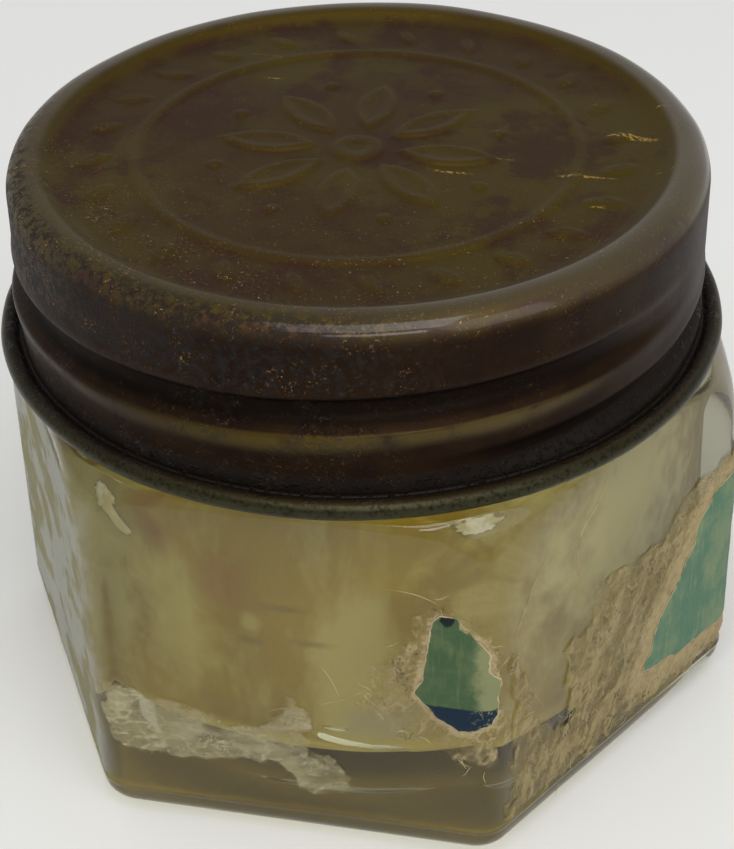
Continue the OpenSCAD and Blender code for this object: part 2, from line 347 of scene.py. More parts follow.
@dataclass(frozen=True)
class LidPatina:
    """Dark lacquered sheet metal, gone brown, olive where it stands proud, with painted highlight and shade.
    """

    brown: str = "#4c391b"
    red_brown: str = "#462e1e"
    olive: str = "#554618"
    worn: str = "#8a7742"
    skirt: str = "#291a0c"
    dark_skirt: str = "#22130a"
    grime_and_shade: str = "#110a06"
    curl: str = "#3a3827"
    rust: str = "#8f5a30"
    gold: str = "#c09a4a"
    speck: str = "#b59c78"
    gloss: float = 0.3
    varnish_roughness: float = 0.11
    rust_side: float = -132.0
    highlight_side: float = -50.0
    scratch_turn: float = 38.0

    def material(self, lid: "Lid") -> bpy.types.Material:
        """Makes the finish.

        Args:
            lid: gives the heights and radii that the wear follows.

        Returns:
            The material.
        """
        tree = FinishTree("lid_patina")
        z = tree.axis("Z")
        radius = tree.radius()
        mottle = tree.noise(0.2, 7, 0.66)
        clouds = tree.noise(0.06, 4, 0.6)
        grain = tree.noise(3.2, 5, 0.7)
        curl_top = lid.curl_z + lid.curl_r
        on_top = z.ease(lid.knuckle_z - 0.2, lid.knuckle_z + 1.2)
        on_curl = z.ease(curl_top + 0.05, curl_top - 0.2)
        off_curl = 1 - on_curl

        # The top: brown and olive, worn on the ornament and on the slope up to the rim.
        top = tree.mix(clouds.ease(0.4, 0.58), self.brown, self.olive)
        top = tree.mix(mottle.ease(0.48, 0.62) * 0.85, top, self.red_brown)
        raised = z.ease(lid.panel_z + 0.04, lid.panel_z + 0.2) * radius.ease(lid.panel_r, lid.panel_r - 0.6)
        slope = radius.band(lid.panel_r + 0.2, lid.rim_r + 1.0, 0.7)
        slope = slope * z.ease(lid.panel_z + 0.1, lid.panel_z + 0.5)
        rubbed = (raised * 0.5).most(slope * 0.9) * mottle.ease(0.36, 0.54)
        top = tree.mix(rubbed, top, self.olive)
        top = tree.mix(raised * grain.ease(0.58, 0.7) * 0.4, top, self.worn)

        # Skirt: wear and painted highlight on the beads; grime and painted shade in the grooves and crease.
        side = tree.mix(mottle.ease(0.42, 0.62), self.skirt, self.dark_skirt)
        proud = radius.ease(lid.skirt_r + 0.14, lid.skirt_r + 0.36) * off_curl
        # Painted highlight: the olive on the beads grows towards the side where light falls; a little is
        # wear.
        highlit = (tree.towards(self.highlight_side) / radius).ease(0.25, 0.85)
        side = tree.mix(proud * mottle.ease(0.3, 0.5) * (0.1 + highlit * 0.75), side, self.olive)
        # Painted shade, with some grime: the grooves and the crease above the curl are darkened.
        sunk = radius.ease(lid.skirt_r - 0.12, lid.skirt_r - 0.6)
        crease = z.band(lid.curl_z + 0.1, curl_top + 0.8, 0.6)
        crease = crease * radius.ease(lid.outer_r - 0.2, lid.outer_r - 0.7)
        side = tree.mix(sunk.most(crease) * 0.8, side, self.grime_and_shade)
        colour = tree.mix(on_top, side, top)
        rolled = tree.mix(grain.ease(0.46, 0.66) * 0.7, self.curl, self.grime_and_shade)
        colour = tree.mix(on_curl * (1 - crease), colour, rolled)

        # Rust: a crusty patch on one side, and flecks that are scattered further.
        patch = (tree.towards(self.rust_side) / radius).ease(0.2, 0.9) * radius.ease(12.0, 20.0)
        scatter = tree.noise(0.3, 6, 0.7).ease(0.44, 0.62)
        rusty = (patch * scatter).most(scatter * 0.25) * off_curl
        rusty = rusty * (0.3 + 0.7 * z.ease(lid.knuckle_z - 4.0, lid.knuckle_z - 2.0))
        knuckle = z.band(lid.knuckle_z - 3.0, lid.top_z - 0.3, 0.8) * radius.ease(lid.rim_r, lid.rim_r + 0.8)
        crust = tree.noise(1.7, 6, 0.75).ease(0.44, 0.56) * patch * off_curl
        crust = crust * knuckle.most(scatter * 0.6)
        red_flecks = tree.noise(3.4, 3, 0.65).ease(0.6, 0.66) * rusty
        gold_flecks = tree.noise(4.4, 3, 0.65).ease(0.63, 0.68) * rusty
        colour = tree.mix(crust * 0.85, colour, self.grime_and_shade)
        colour = tree.mix(red_flecks * 0.8, colour, self.rust)
        colour = tree.mix(gold_flecks * 0.85, colour, self.gold)

        # Pale specks on the near part of the top, and a few bright scratches.
        near = (tree.axis("Y") * -1).ease(-2.0, 14.0)
        specks = tree.noise(4.6, 2, 0.6).ease(0.66, 0.71) * on_top * scatter.most(0.35) * near
        colour = tree.mix(specks * 0.85, colour, self.speck)
        scratch = tree.noise(0.5, 3, 0.5, tree.stretched((0.22, 2.0, 1.0), self.scratch_turn))
        scratch = scratch.ease(0.68, 0.73) * on_top * clouds.ease(0.5, 0.56)
        colour = tree.mix(scratch * grain.ease(0.46, 0.58), colour, self.gold)

        wear = rubbed.most(proud * 0.8)
        tar = tree.noise(1.9, 4, 0.7).ease(0.52, 0.64) * crease
        height = grain * 0.3 + mottle * 0.5 + crust * 1.3 + (red_flecks + gold_flecks) * 0.8 + tar * 2.5
        smooth = radius.band(lid.rim_r, lid.skirt_r, 0.6) * z.ease(lid.knuckle_z + 0.3, lid.knuckle_z + 1.0)
        clean = 1 - crust.most(patch * 0.7)
        rough = 0.46 + mottle * 0.16 + crust * 0.2 + crease * 0.15 - wear * 0.08 - on_curl * 0.16 - tar * 0.4
        return tree.finish(
            Base_Color=colour,
            Roughness=rough,
            Metallic=0.85 + wear * 0.1 - crust * 0.7 - crease * 0.5 + on_curl * 0.1,
            Specular_IOR_Level=self.gloss,
            Coat_Weight=smooth.most(proud * 0.35) * clean * (1 - crease),
            Coat_Roughness=self.varnish_roughness,
            Normal=tree.bump(height, 0.06, 0.7),
        )


@dataclass(frozen=True)
class MouldedGlass:
    """Old clear glass, faintly olive, that lets lamps through to what it holds."""

    tint: str = "#f4f5ea"
    depth_tint: str = "#c2b86c"
    depth_density: float = 16.0
    index: float = 1.5

    def material(self) -> bpy.types.Material:
        """Makes the finish.

        Returns:
            The material.
        """
        tree = FinishTree("moulded_glass")
        waves = tree.noise(0.16, 2, 0.4)
        grease = tree.noise(0.11, 5, 0.6).ease(0.5, 0.72)
        glass = tree.principled(
            Base_Color=self.tint,
            Roughness=0.02 + grease * 0.07,
            IOR=self.index,
            Transmission_Weight=1.0,
            Normal=tree.bump(waves, 0.12, 0.4),
        )
        clear = tree.node("BsdfTransparent", {"Color": self.tint})
        through = tree.node("LightPath", out="Is Shadow Ray")
        depth = tree.node("VolumeAbsorption", {"Color": self.depth_tint, "Density": self.depth_density})
        return tree.ended(Surface=tree.node("MixShader", {0: through, 1: glass, 2: clear}), Volume=depth)


@dataclass(frozen=True)
class Spot:
    """A soft spot of another colour on the side of the filling."""

    angle: float
    z: float
    half_width: float
    half_height: float
    colour: str
    share: float

    def over(self, tree: FinishTree, colour: Wire, stray: Wire) -> Wire:
        """Lays the spot over a colour.

        Args:
            tree: the material that it is part of.
            colour: the colour under it.
            stray: a value about 0.5 that makes its edge uneven.

        Returns:
            The colour with the spot.
        """
        along = tree.towards(self.angle + 90) / self.half_width
        up = (tree.axis("Z") - self.z) / self.half_height
        near = tree.towards(self.angle).ease(0.0, 4.0)
        reach = (along * along + up * up) ** 0.5 + (stray - 0.5) * 1.6
        return tree.mix(reach.ease(1.15, 0.15) * near * self.share, colour, self.colour)


@dataclass(frozen=True)
class OldOintment:
    """Yellow, half-clear ointment that has darkened, with cream streaks and brown blotches."""

    mustard: str = "#aa9230"
    cream: str = "#c6bb78"
    brown: str = "#a1742c"
    amber: str = "#8f6414"
    honey: str = "#b3982a"
    straw: str = "#d8ce90"
    ashen: str = "#a8a084"
    deep: str = "#98812a"
    shadow: str = "#6b5a26"
    underside_glow: str = "#cdb862"
    glow_depth: float = 8.0

    @property
    def spots(self) -> tuple[Spot, ...]:
        """The marks that show through the front of the glass.

        Returns:
            The marks, in the order in which they are laid.
        """
        return (
            Spot(-134.0, 16.0, 2.2, 10.0, self.cream, 0.85),
            Spot(-121.0, 23.0, 1.8, 2.6, self.amber, 0.75),
            Spot(-118.0, 16.0, 4.4, 8.0, self.cream, 0.65),
            Spot(-120.7, 16.0, 0.9, 1.1, self.cream, 0.5),
            Spot(-105.7, 20.3, 2.8, 3.2, self.brown, 0.6),
            Spot(-99.8, 17.3, 1.0, 1.0, self.cream, 0.55),
            Spot(-100.1, 15.7, 1.3, 0.62, self.shadow, 0.45),
            Spot(-91.8, 19.0, 2.1, 0.52, self.shadow, 0.45),
            Spot(-87.3, 16.1, 1.8, 0.48, self.shadow, 0.45),
            Spot(-69.8, 23.2, 4.0, 4.0, self.honey, 0.7),
            Spot(-80.0, 28.0, 3.0, 2.0, self.brown, 0.3),
            Spot(-22.0, 22.0, 13.0, 14.0, self.straw, 0.75),
            Spot(-72.0, 9.2, 4.4, 2.6, self.ashen, 0.7),
        )

    def material(self) -> bpy.types.Material:
        """Makes the finish.

        Returns:
            The material.
        """
        tree = FinishTree("old_ointment")
        clouds = tree.noise(0.075, 5, 0.55)
        smears = tree.noise(0.14, 5, 0.6, tree.stretched((1.0, 1.0, 0.4)))
        fine = tree.noise(0.45, 4, 0.55)
        colour = tree.mix(clouds.ease(0.38, 0.62), self.deep, self.mustard)
        colour = tree.mix(smears.ease(0.46, 0.66) * 0.75, colour, self.cream)
        for spot in self.spots:
            colour = spot.over(tree, colour, fine)
        # Painted light: faces that look down are lightened to stand in for light the jelly carries through.
        facing = tree.node("NewGeometry", out="Normal")
        under = tree.node("SeparateXYZ", {0: facing}, out="Z").ease(-0.2, -0.65)
        return tree.finish(
            Base_Color=tree.mix(under, colour, self.underside_glow),
            Roughness=0.3 + fine * 0.25,
            Subsurface_Weight=0.85,
            Subsurface_Radius=(1.0, 0.75, 0.3),
            Subsurface_Scale=self.glow_depth * MM,
            Normal=tree.bump(tree.noise(0.5, 5, 0.6), 0.2, 0.4),
        )


@dataclass(frozen=True)
class HighlightFlakeFinish:
    """Cream colour of the pale flakes that paint highlights on the filling."""

    cream: str = "#efe9cc"
    shadow: str = "#d2c690"

    def material(self) -> bpy.types.Material:
        """Makes the finish.

        Returns:
            The material.
        """
        tree = FinishTree("highlight_flake_finish")
        clouds = tree.noise(0.9, 4, 0.6)
        colour = tree.mix(clouds.ease(0.42, 0.62), self.cream, self.shadow)
        return tree.finish(Base_Color=colour, Roughness=0.5, Normal=tree.bump(clouds, 0.08, 0.6))


@dataclass(frozen=True)
class TornBacking:
    """Crinkled paper left on the glass where the print tore away, with dried glue."""

    name: str
    lean: float
    paper: str = "#9a8c62"
    fibre: str = "#b8aa80"
    stain: str = "#83734a"
    lip: str = "#a7936c"
    crack: str = "#2e2416"
    opacity: float = 0.75
    crinkled: float = 0.7
    cracked: float = 0.8
    crumbly: float = 0.3
    mealy: float = 0.4

    def material(self) -> bpy.types.Material:
        """Makes the finish.

        Returns:
            The material.
        """
        tree = FinishTree(self.name)
        build = tree.attribute("build")
        clouds = tree.noise(0.28, 5, 0.6)
        fine = tree.noise(1.6, 5, 0.65)
        crumbs = tree.noise(3.4, 4, 0.7)
        zone = tree.noise(0.2, 3, 0.5).ease(0.42, 0.58)
        beside = tree.attribute("beside") * (0.5 + 0.5 * fine.ease(0.42, 0.58))
        wander = tree.noise(0.45, 2.5, 0.55, tree.sheet(self.lean, 0.6))
        ridges = (wander - 0.5).size().ease(0.03, 0.004) * clouds.ease(0.38, 0.54)
        streaks = tree.noise(0.7, 5, 0.6, tree.sheet(self.lean, 0.3)).ease(0.46, 0.62)
        second = tree.noise(0.62, 4, 0.66, tree.sheet(self.lean + 35, 0.7))
        splits = (second - 0.5).size().ease(0.02, 0.004) * tree.noise(0.5, 3).ease(0.54, 0.6) * (1 - beside)
        folds = (ridges * self.crinkled).most(build * 0.4).most(streaks * self.crinkled)
        colour = tree.mix(clouds.ease(0.4, 0.64), self.paper, self.stain)
        colour = tree.mix(beside * 0.85, colour, self.lip)
        colour = tree.mix(fine.ease(0.46, 0.66) * zone * self.mealy, colour, self.fibre)
        colour = tree.mix(folds, colour, self.fibre)
        colour = tree.mix(crumbs.ease(0.52, 0.62) * zone.most(beside) * self.crumbly, colour, self.fibre)
        specks = crumbs.ease(0.4, 0.34) * self.crumbly
        torn = (tree.attribute("edge") + (fine - 0.5) * 0.9 + (crumbs - 0.5) * self.crumbly).ease(0.0, 0.6)
        cover = self.opacity + (clouds - 0.5) * 1.5 + (fine - 0.5) * 1.5 * self.mealy
        cover = cover + (ridges + streaks) * self.crinkled * 0.5 + build * 0.4 + beside * 0.7 + splits * 0.4
        relief = fine * zone * self.mealy + ridges * self.crinkled + crumbs * self.crumbly
        relief = relief + build * 0.5 - splits * 0.8
        return tree.finish(
            Base_Color=tree.mix((splits * self.cracked).most(specks), colour, self.crack),
            Roughness=0.8,
            Alpha=torn * cover.ease(0.0, 1.0),
            Normal=tree.bump(relief, 0.07, 0.7),
        )


@dataclass(frozen=True)
class PaintedSheen:
    """A thin grey-white film on the glass, a painted reflection that covers more the flatter it is seen."""

    sheen: str = "#aaaba0"
    olive_patch: str = "#8b855a"
    cover: float = 0.15

    def material(self) -> bpy.types.Material:
        """Makes the finish.

        Returns:
            The material.
        """
        tree = FinishTree("painted_sheen")
        runs = tree.noise(0.17, 3, 0.5, tree.stretched((1.0, 1.0, 1.5)))
        fine = tree.noise(0.9, 4, 0.6)
        # Painted reflection: grey-white, covering more at grazing views, with darker olive patches.
        colour = tree.mix((runs + (fine - 0.5) * 0.2).ease(0.46, 0.58), self.sheen, self.olive_patch)
        slant = tree.node("LayerWeight", {"Blend": 0.5}, out="Facing")
        clear = (1 - self.cover * (0.6 + runs * 0.8)) ** (1 / (1 - slant))
        faded = (tree.attribute("edge") + (fine - 0.5) * 2.0).ease(0.0, 1.4)
        return tree.finish(Base_Color=colour, Roughness=0.7, Alpha=(1 - clear) * faded)


@dataclass(frozen=True)
class LooseFibre:
    """Pale paper fibre, a little darker in places."""

    pale: str = "#c9bb96"
    dark: str = "#9b8a63"

    def material(self) -> bpy.types.Material:
        """Makes the finish.

        Returns:
            The material.
        """
        tree = FinishTree("loose_fibre")
        colour = tree.mix(tree.noise(0.8, 3).ease(0.4, 0.65), self.pale, self.dark)
        return tree.finish(Base_Color=colour, Roughness=0.75)


@dataclass(frozen=True)
class PrintedPly:
    """The printed face of the label: faded teal, worn to cream, with a dark blue band low down.

    It is rubbed to the right of the rub line, and has one sooty mark. Where these lie far off, it has none.
    """

    name: str
    teal: str
    band: str = "#0b2436"
    cream: str = "#a9a878"
    torn: str = "#bfae8b"
    soot: str = "#141d1a"
    band_top: float = -10.0
    rub_line: float = 99.0
    soot_at: tuple[float, float] = (99.0, 0.0)
    soot_half: tuple[float, float] = (0.5, 0.6)
    border: float = 0.05

    def material(self) -> bpy.types.Material:
        """Makes the finish.

        Returns:
            The material.
        """
        tree = FinishTree(self.name)
        along = tree.attribute("along")
        z = tree.axis("Z")
        clouds = tree.noise(0.3, 6, 0.65)
        fibres = tree.noise(1.6, 6, 0.7)
        threads = tree.noise(2.4, 4, 0.6, tree.sheet(90, 0.12))
        colour = tree.mix(clouds.ease(0.4, 0.7) * 0.3, self.teal, self.cream)
        colour = tree.mix(threads.ease(0.5, 0.7) * 0.2, colour, self.cream)
        band = (z + (fibres - 0.5) * 0.25).ease(self.band_top + 0.08, self.band_top - 0.08)
        colour = tree.mix(band, colour, self.band)
        rubbed = along + (clouds - 0.5) * 1.6 + (fibres - 0.5) * 1.2
        rubbed = rubbed.ease(self.rub_line - 0.5, self.rub_line + 0.4)
        scuffs = (along + clouds).ease(self.rub_line - 0.4, self.rub_line + 0.8)
        scuffs = tree.noise(3.0, 4, 0.7).ease(0.54, 0.62) * scuffs
        colour = tree.mix((rubbed * (1 - band) * 0.8).most(scuffs * band), colour, self.cream)
        across = (along - self.soot_at[0]) / self.soot_half[0]
        up = (z - self.soot_at[1]) / self.soot_half[1]
        sooty = (across * across + up * up + (fibres - 0.5) * 2.5).ease(1.1, 0.7)
        colour = tree.mix(sooty, colour, self.soot)
        border = tree.attribute("edge") + (fibres - 0.5) * 2.5 * self.border
        border = border.ease(self.border * 1.5, self.border * 0.5) * clouds.ease(0.4, 0.52)
        return tree.finish(
            Base_Color=tree.mix(border, colour, self.torn),
            Roughness=0.62,
            Specular_IOR_Level=0.2,
            Normal=tree.bump(fibres + clouds * 0.6 - border * 0.6, 0.05, 0.6),
        )


@dataclass(frozen=True)
class PulpBoard:
    """Pressed grey-brown board with flecks of fibre."""

    board: str = "#9a8868"
    fleck: str = "#6c5a3f"
    pale: str = "#b9a887"

    def material(self) -> bpy.types.Material:
        """Makes the finish.

        Returns:
            The material.
        """
        tree = FinishTree("pulp_board")
        fibres = tree.noise(0.9, 6, 0.7)
        colour = tree.mix(tree.noise(0.2, 4, 0.6).ease(0.4, 0.65), self.board, self.pale)
        colour = tree.mix(fibres.ease(0.58, 0.68) * 0.8, colour, self.fleck)
        return tree.finish(Base_Color=colour, Roughness=0.88, Normal=tree.bump(fibres, 0.1, 0.8))


@dataclass(frozen=True)
class WaxedPaper:
    """Waxed facing paper, stained where the ointment and the glass rim met it."""

    paper: str = "#d8cda8"
    grease: str = "#a99556"
    rim: str = "#8a7a55"

    def material(self, rim_low: float, rim_high: float) -> bpy.types.Material:
        """Makes the finish.

        Args:
            rim_low: inner radius of the glass rim that presses on it.
            rim_high: outer radius of that rim.

        Returns:
            The material.
        """
        tree = FinishTree("waxed_paper")
        clouds = tree.noise(0.14, 5, 0.6)
        colour = tree.mix(clouds.ease(0.42, 0.62) * 0.7, self.paper, self.grease)
        ring = tree.radius().band(rim_low, rim_high, 0.4) * clouds.ease(0.3, 0.6)
        return tree.finish(
            Base_Color=tree.mix(ring * 0.6, colour, self.rim),
            Roughness=0.38 + clouds * 0.2,
            Normal=tree.bump(tree.noise(1.2, 5, 0.65), 0.03, 0.6),
        )


@dataclass(frozen=True)
class PaleFloor:
    """Plain matt paper under the pot."""

    paper: str = "#fbfbf9"

    def material(self) -> bpy.types.Material:
        """Makes the finish."""
        return FinishTree("pale_floor").finish(Base_Color=self.paper, Roughness=0.9)


class Lathe:
    """Rings of points round the axis, gathered row by row.

    Rows run from the middle of the underside, over the outside, to the middle of the top.
    """

    def __init__(self, angle: np.ndarray | int) -> None:
        """Starts with no rings.

        Args:
            angle: the angles of the columns, anticlockwise from above, or the number of even columns.
        """
        self.angle = np.arange(angle) * 360 / angle if isinstance(angle, int) else angle
        self.turn = np.radians(self.angle)
        self.rings: list[np.ndarray] = []

    def ring(self, radius: np.ndarray | float, z: np.ndarray | float) -> None:
        """Adds a ring; its radius and height are one number or one for each column."""
        level = np.broadcast_to(z, self.turn.shape)
        self.rings.append(np.stack([radius * np.cos(self.turn), radius * np.sin(self.turn), level], -1))

    def rounds(self, radii: np.ndarray | float, levels: np.ndarray | float) -> None:
        """Adds round rings; radii and levels are one number or one for each ring."""
        for radius, z in np.broadcast(radii, levels):
            self.ring(radius, z)

    def arc(self, axis_r: float, axis_z: float, radius: float, ends: tuple[float, float], count: int) -> None:
        """Adds the round rings of an arc.

        Args:
            axis_r: radius of the arc's middle.
            axis_z: height of the arc's middle.
            radius: the arc's own radius.
            ends: angles of its ends above the level.
            count: how many rings it has.
        """
        bend = np.radians(np.linspace(*ends, count))
        self.rounds(axis_r + radius * np.cos(bend), axis_z + radius * np.sin(bend))

    def points(self) -> np.ndarray:
        """The points by row, column and axis."""
        return np.array(self.rings)


def skin(rings: np.ndarray) -> Shape:
    """Closes rows of rings into one skin with a fan at each end.

    Args:
        rings: points by row, column and axis, as a Lathe makes them.

    Returns:
        The skin.
    """
    rows, columns, _ = rings.shape
    here = np.arange(columns)
    after = (here + 1) % columns
    starts = np.arange(rows - 1)[:, None] * columns
    quads = np.stack([starts + here, starts + after, starts + columns + after, starts + columns + here], -1)
    first = rows * columns
    top = first - columns
    fans = [(first, int(b), int(a)) for a, b in zip(here, after)]
    fans += [(first + 1, int(top + a), int(top + b)) for a, b in zip(here, after)]
    points = np.concatenate([rings.reshape(-1, 3), rings[:1].mean(1), rings[-1:].mean(1)])
    return points, [tuple(quad) for quad in quads.reshape(-1, 4).tolist()] + fans


def joined(shapes: Sequence[Shape]) -> Shape:
    """Puts several shapes into one.

    Args:
        shapes: the shapes, whose points keep their order.

    Returns:
        The whole.
    """
    faces: list[tuple[int, ...]] = []
    count = 0
    for points, loops in shapes:
        faces += [tuple(i + count for i in loop) for loop in loops]
        count += len(points)
    return np.concatenate([points for points, _ in shapes]), faces


def outward(rings: np.ndarray) -> np.ndarray:
    """At each point, the level direction away from the axis."""
    level = rings * (1, 1, 0)
    return level / np.maximum(np.linalg.norm(level, axis=-1, keepdims=True), TINY)


def make_piece(
    name: str,
    shape: Shape,
    body: Body,
    material: bpy.types.Material,
    values: Mapping[str, np.ndarray] | None = None,
) -> bpy.types.Object:
    """Makes a smooth mesh piece that rides on a body.

    Args:
        name: the piece's name.
        shape: its points, in millimetres, and its faces.
        body: the body that it rides on.
        material: its finish.
        values: values that its points carry, by name.

    Returns:
        The piece.
    """
    points, faces = shape
    mesh = bpy.data.meshes.new(name)
    mesh.from_pydata((np.asarray(points) * MM).tolist(), [], faces)
    mesh.validate()
    mesh.shade_smooth()
    for key, column in (values or {}).items():
        mesh.attributes.new(key, "FLOAT", "POINT").data.foreach_set("value", column.astype(np.float32))
    mesh.materials.append(material)
    piece = bpy.data.objects.new(name, mesh)
    bpy.context.scene.collection.objects.link(piece)
    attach(piece, body.value)
    LOG.info("%s: %d points, %d faces, on %s", name, len(points), len(faces), body.value)
    return piece


@dataclass(frozen=True)
class Screw:
    """The right-hand screw that the neck and the lid share."""

    pitch: float = 5.08
    start: float = -31.0
    fade: float = 50.0

    def passes(self, angle: np.ndarray, low: float, high: float) -> list[tuple[np.ndarray, np.ndarray]]:
        """Each pass of a thread at some angles.

        Args:
            angle: angles round the axis.
            low: angle along the thread where it starts.
            high: angle along the thread where it ends.

        Returns:
            Pairs of the rise since the thread's zero and the share of full depth there.
        """
        found = []
        for turn in (-360, 0, 360):
            along = (angle - self.start) % 360 + turn
            depth = np.minimum(ease(along, low, low + self.fade), ease(along, high, high - self.fade))
            found.append((self.pitch * along / 360, depth))
        return found


@dataclass
class Lid:
    """The pressed lid: sunk panel with its ornament, rim, knuckle, threaded skirt and curl."""

    screw: Screw
    sheet: float = 0.3
    panel_depth: float = 0.8
    panel_r: float = 20.9
    rim_r: float = 22.7
    knuckle_r: float = 1.8
    skirt_r: float = 24.8
    curl_r: float = 0.7
    groove_depth: float = 0.95
    groove_half: float = 1.0
    bead_height: float = 0.36
    bead_drop: float = 1.6
    bead_spread: tuple[float, float] = (0.5, 1.45)
    bead_clear: tuple[float, float] = (0.9, 2.2)
    lip_height: float = 0.1
    lip_rise: float = 1.7
    lip_spread: float = 0.6
    ridge_lead: float = 45.0
    ridge_end: float = 381.6
    ridge_low: float = 2.95
    ring_r: float = 15.75
    ring_width: float = 1.2
    ring_soft: float = 0.12
    relief: float = 0.22
    press_out: float = 0.1
    press_in: float = 0.42
    leaves: int = 24
    leaf_length: float = 3.2
    leaf_width: float = 1.5
    leaf_tilt: float = 32.0
    vein_depth: float = 0.35
    vein_half: float = 0.16
    petals: int = 8
    petal_length: float = 7.4
    petal_width: float = 3.2
    petal_hollow: float = 0.45
    petal_gap: float = 0.8
    eye_r: float = 2.0
    eye_hollow: float = 0.5
    bead_r: float = 0.6
    dents: float = 0.05
    dent_length: float = 16.0
    dent_rise: float = 0.8
    columns: int = 480
    top_z: float = field(init=False)
    outer_r: float = field(init=False)
    curl_z: float = field(init=False)

    def __post_init__(self) -> None:
        """Takes the lid's height and width from the frame."""
        low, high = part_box("lid_shell")
        self.top_z = high.z / MM
        self.outer_r = (high.x - low.x) / 2 / MM
        self.curl_z = low.z / MM + self.curl_r

    @property
    def panel_z(self) -> float:
        """Height of the sunk panel."""
        return self.top_z - self.panel_depth

    @property
    def knuckle_z(self) -> float:
        """Height of the middle of the knuckle's round."""
        return self.top_z - self.knuckle_r

    @staticmethod
    def _leaf(along: np.ndarray, across: np.ndarray, length: float, width: float) -> np.ndarray:
        """Distance inside a leaf drawn between two equal arcs, negative outside it."""
        arc = (length**2 + width**2) / (4 * width)
        return arc - np.hypot(along, np.abs(across) + arc - width / 2)

    def _pattern(self, radius: float, angle: np.ndarray) -> np.ndarray:
        """Height of the pressed ornament over the panel.

        Args:
            radius: distance from the middle.
            angle: angles round the middle.

        Returns:
            The heights.
        """

        def sector(count: int, offset: float) -> tuple[np.ndarray, np.ndarray]:
            """Position in the nearest of several equal sectors, along and across its middle line."""
            local = np.radians((angle - offset + 180 / count) % (360 / count) - 180 / count)
            return radius * np.cos(local), radius * np.sin(local)

        def pressed(inside: np.ndarray) -> np.ndarray:
            """Rounded step of the press, from the distance inside an outline."""
            return ease(inside, -self.press_out, self.press_in)

        ring = ease(self.ring_width / 2 - abs(radius - self.ring_r), -self.ring_soft, self.press_in)

        along, across = sector(self.leaves, 0)
        leaf_mid = (self.ring_r + self.ring_width / 2 + self.panel_r) / 2
        along, across = turned(along - leaf_mid, across, -self.leaf_tilt)
        vein = self.vein_depth * np.exp(-((across / self.vein_half) ** 2))
        leaf = pressed(self._leaf(along, across, self.leaf_length, self.leaf_width)) * (1 - vein)

        along, across = sector(self.petals, 0)
        petal_mid = self.eye_r + self.petal_gap + self.petal_length / 2
        petal = self._leaf(along - petal_mid, across, self.petal_length, self.petal_width)
        petal = pressed(petal) * (1 - self.petal_hollow * ease(petal, 0.5, 1.3))

        along, across = sector(self.petals, 180 / self.petals)
        bead = pressed(self.bead_r - np.hypot(along - petal_mid - self.petal_length / 2, across))
        eye = pressed(self.eye_r - radius) * (1 - self.eye_hollow * ease(self.eye_r - radius, 0.9, 1.7))
        return self.relief * np.maximum.reduce(np.broadcast_arrays(ring, leaf, petal, bead, eye))

    def _skirt(self, angle: np.ndarray, z: float) -> np.ndarray:
        """Outside radius of the threaded skirt at one height.

        Args:
            angle: angles round the axis.
            z: the height.

        Returns:
            The radii.
        """
        radius = np.full_like(angle, self.skirt_r)
        clear = ease(z - self.curl_z, *self.bead_clear)
        low_z = self.curl_z - self.curl_r + self.ridge_low
        for rise, depth in self.screw.passes(angle, -self.ridge_lead, self.ridge_end):
            below = low_z + rise - z
            groove = -self.groove_depth * np.exp(-((below / self.groove_half) ** 4))
            spread = np.where(below < self.bead_drop, *self.bead_spread)
            bead = self.bead_height * np.exp(-(((below - self.bead_drop) / spread) ** 2))
            lip = self.lip_height * np.exp(-(((below + self.lip_rise) / self.lip_spread) ** 2))
            radius += depth * (groove + clear * bead + lip)
        return radius

    def _rings(self) -> np.ndarray:
        """Rings of the whole shell, inside and out.

        Returns:
            The points by row, column and axis.
        """
        lathe = Lathe(self.columns)
        under_z = self.panel_z - self.sheet
        knuckle_at = (self.skirt_r - self.knuckle_r, self.knuckle_z)
        rim_width = self.rim_r - self.panel_r

        # The inside, from the middle of the panel to the curl.
        lathe.rounds(np.linspace(1.0, self.panel_r, 8), under_z)
        share = np.linspace(0.2, 1, 5)
        lathe.rounds(self.panel_r + share * rim_width, under_z + ease(share, 0, 1) * self.panel_depth)
        lathe.arc(*knuckle_at, self.knuckle_r - self.sheet, (80, 5), 6)
        for z in np.linspace(self.knuckle_z, self.curl_z + 0.4, 36):
            lathe.ring(self._skirt(lathe.angle, z) - self.sheet, z)

        # The curl, and the outside up to the middle of the panel.
        lathe.arc(self.outer_r - self.curl_r, self.curl_z, self.curl_r, (180, 510), 26)
        for z in np.linspace(self.curl_z + self.curl_r * 0.5, self.knuckle_z, 54):
            lathe.ring(self._skirt(lathe.angle, z), z)
        lathe.arc(*knuckle_at, self.knuckle_r, (9, 90), 10)
        share = np.linspace(1, 0.05, 10)
        lathe.rounds(self.panel_r + share * rim_width, self.panel_z + ease(share, 0, 1) * self.panel_depth)
        for radius in np.linspace(self.panel_r, 0.2, 92):
            lathe.ring(radius, self.panel_z + self._pattern(radius, lathe.angle))
        return lathe.points()

    def build(self) -> bpy.types.Object:
        """Builds and dresses the lid.

        Returns:
            The piece.
        """
        rings = self._rings()
        dent = Ripple(11, self.dent_length)(rings) * self.dents
        height = ease(rings[..., 2], self.panel_z - 0.5, self.top_z)
        rings = rings + dent[..., None] * outward(rings)
        rings[..., 2] += dent * height * self.dent_rise - self.dents * height
        piece = make_piece("lid", skin(rings), Body.LID, LidPatina().material(self))
        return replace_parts(piece, "lid_shell")


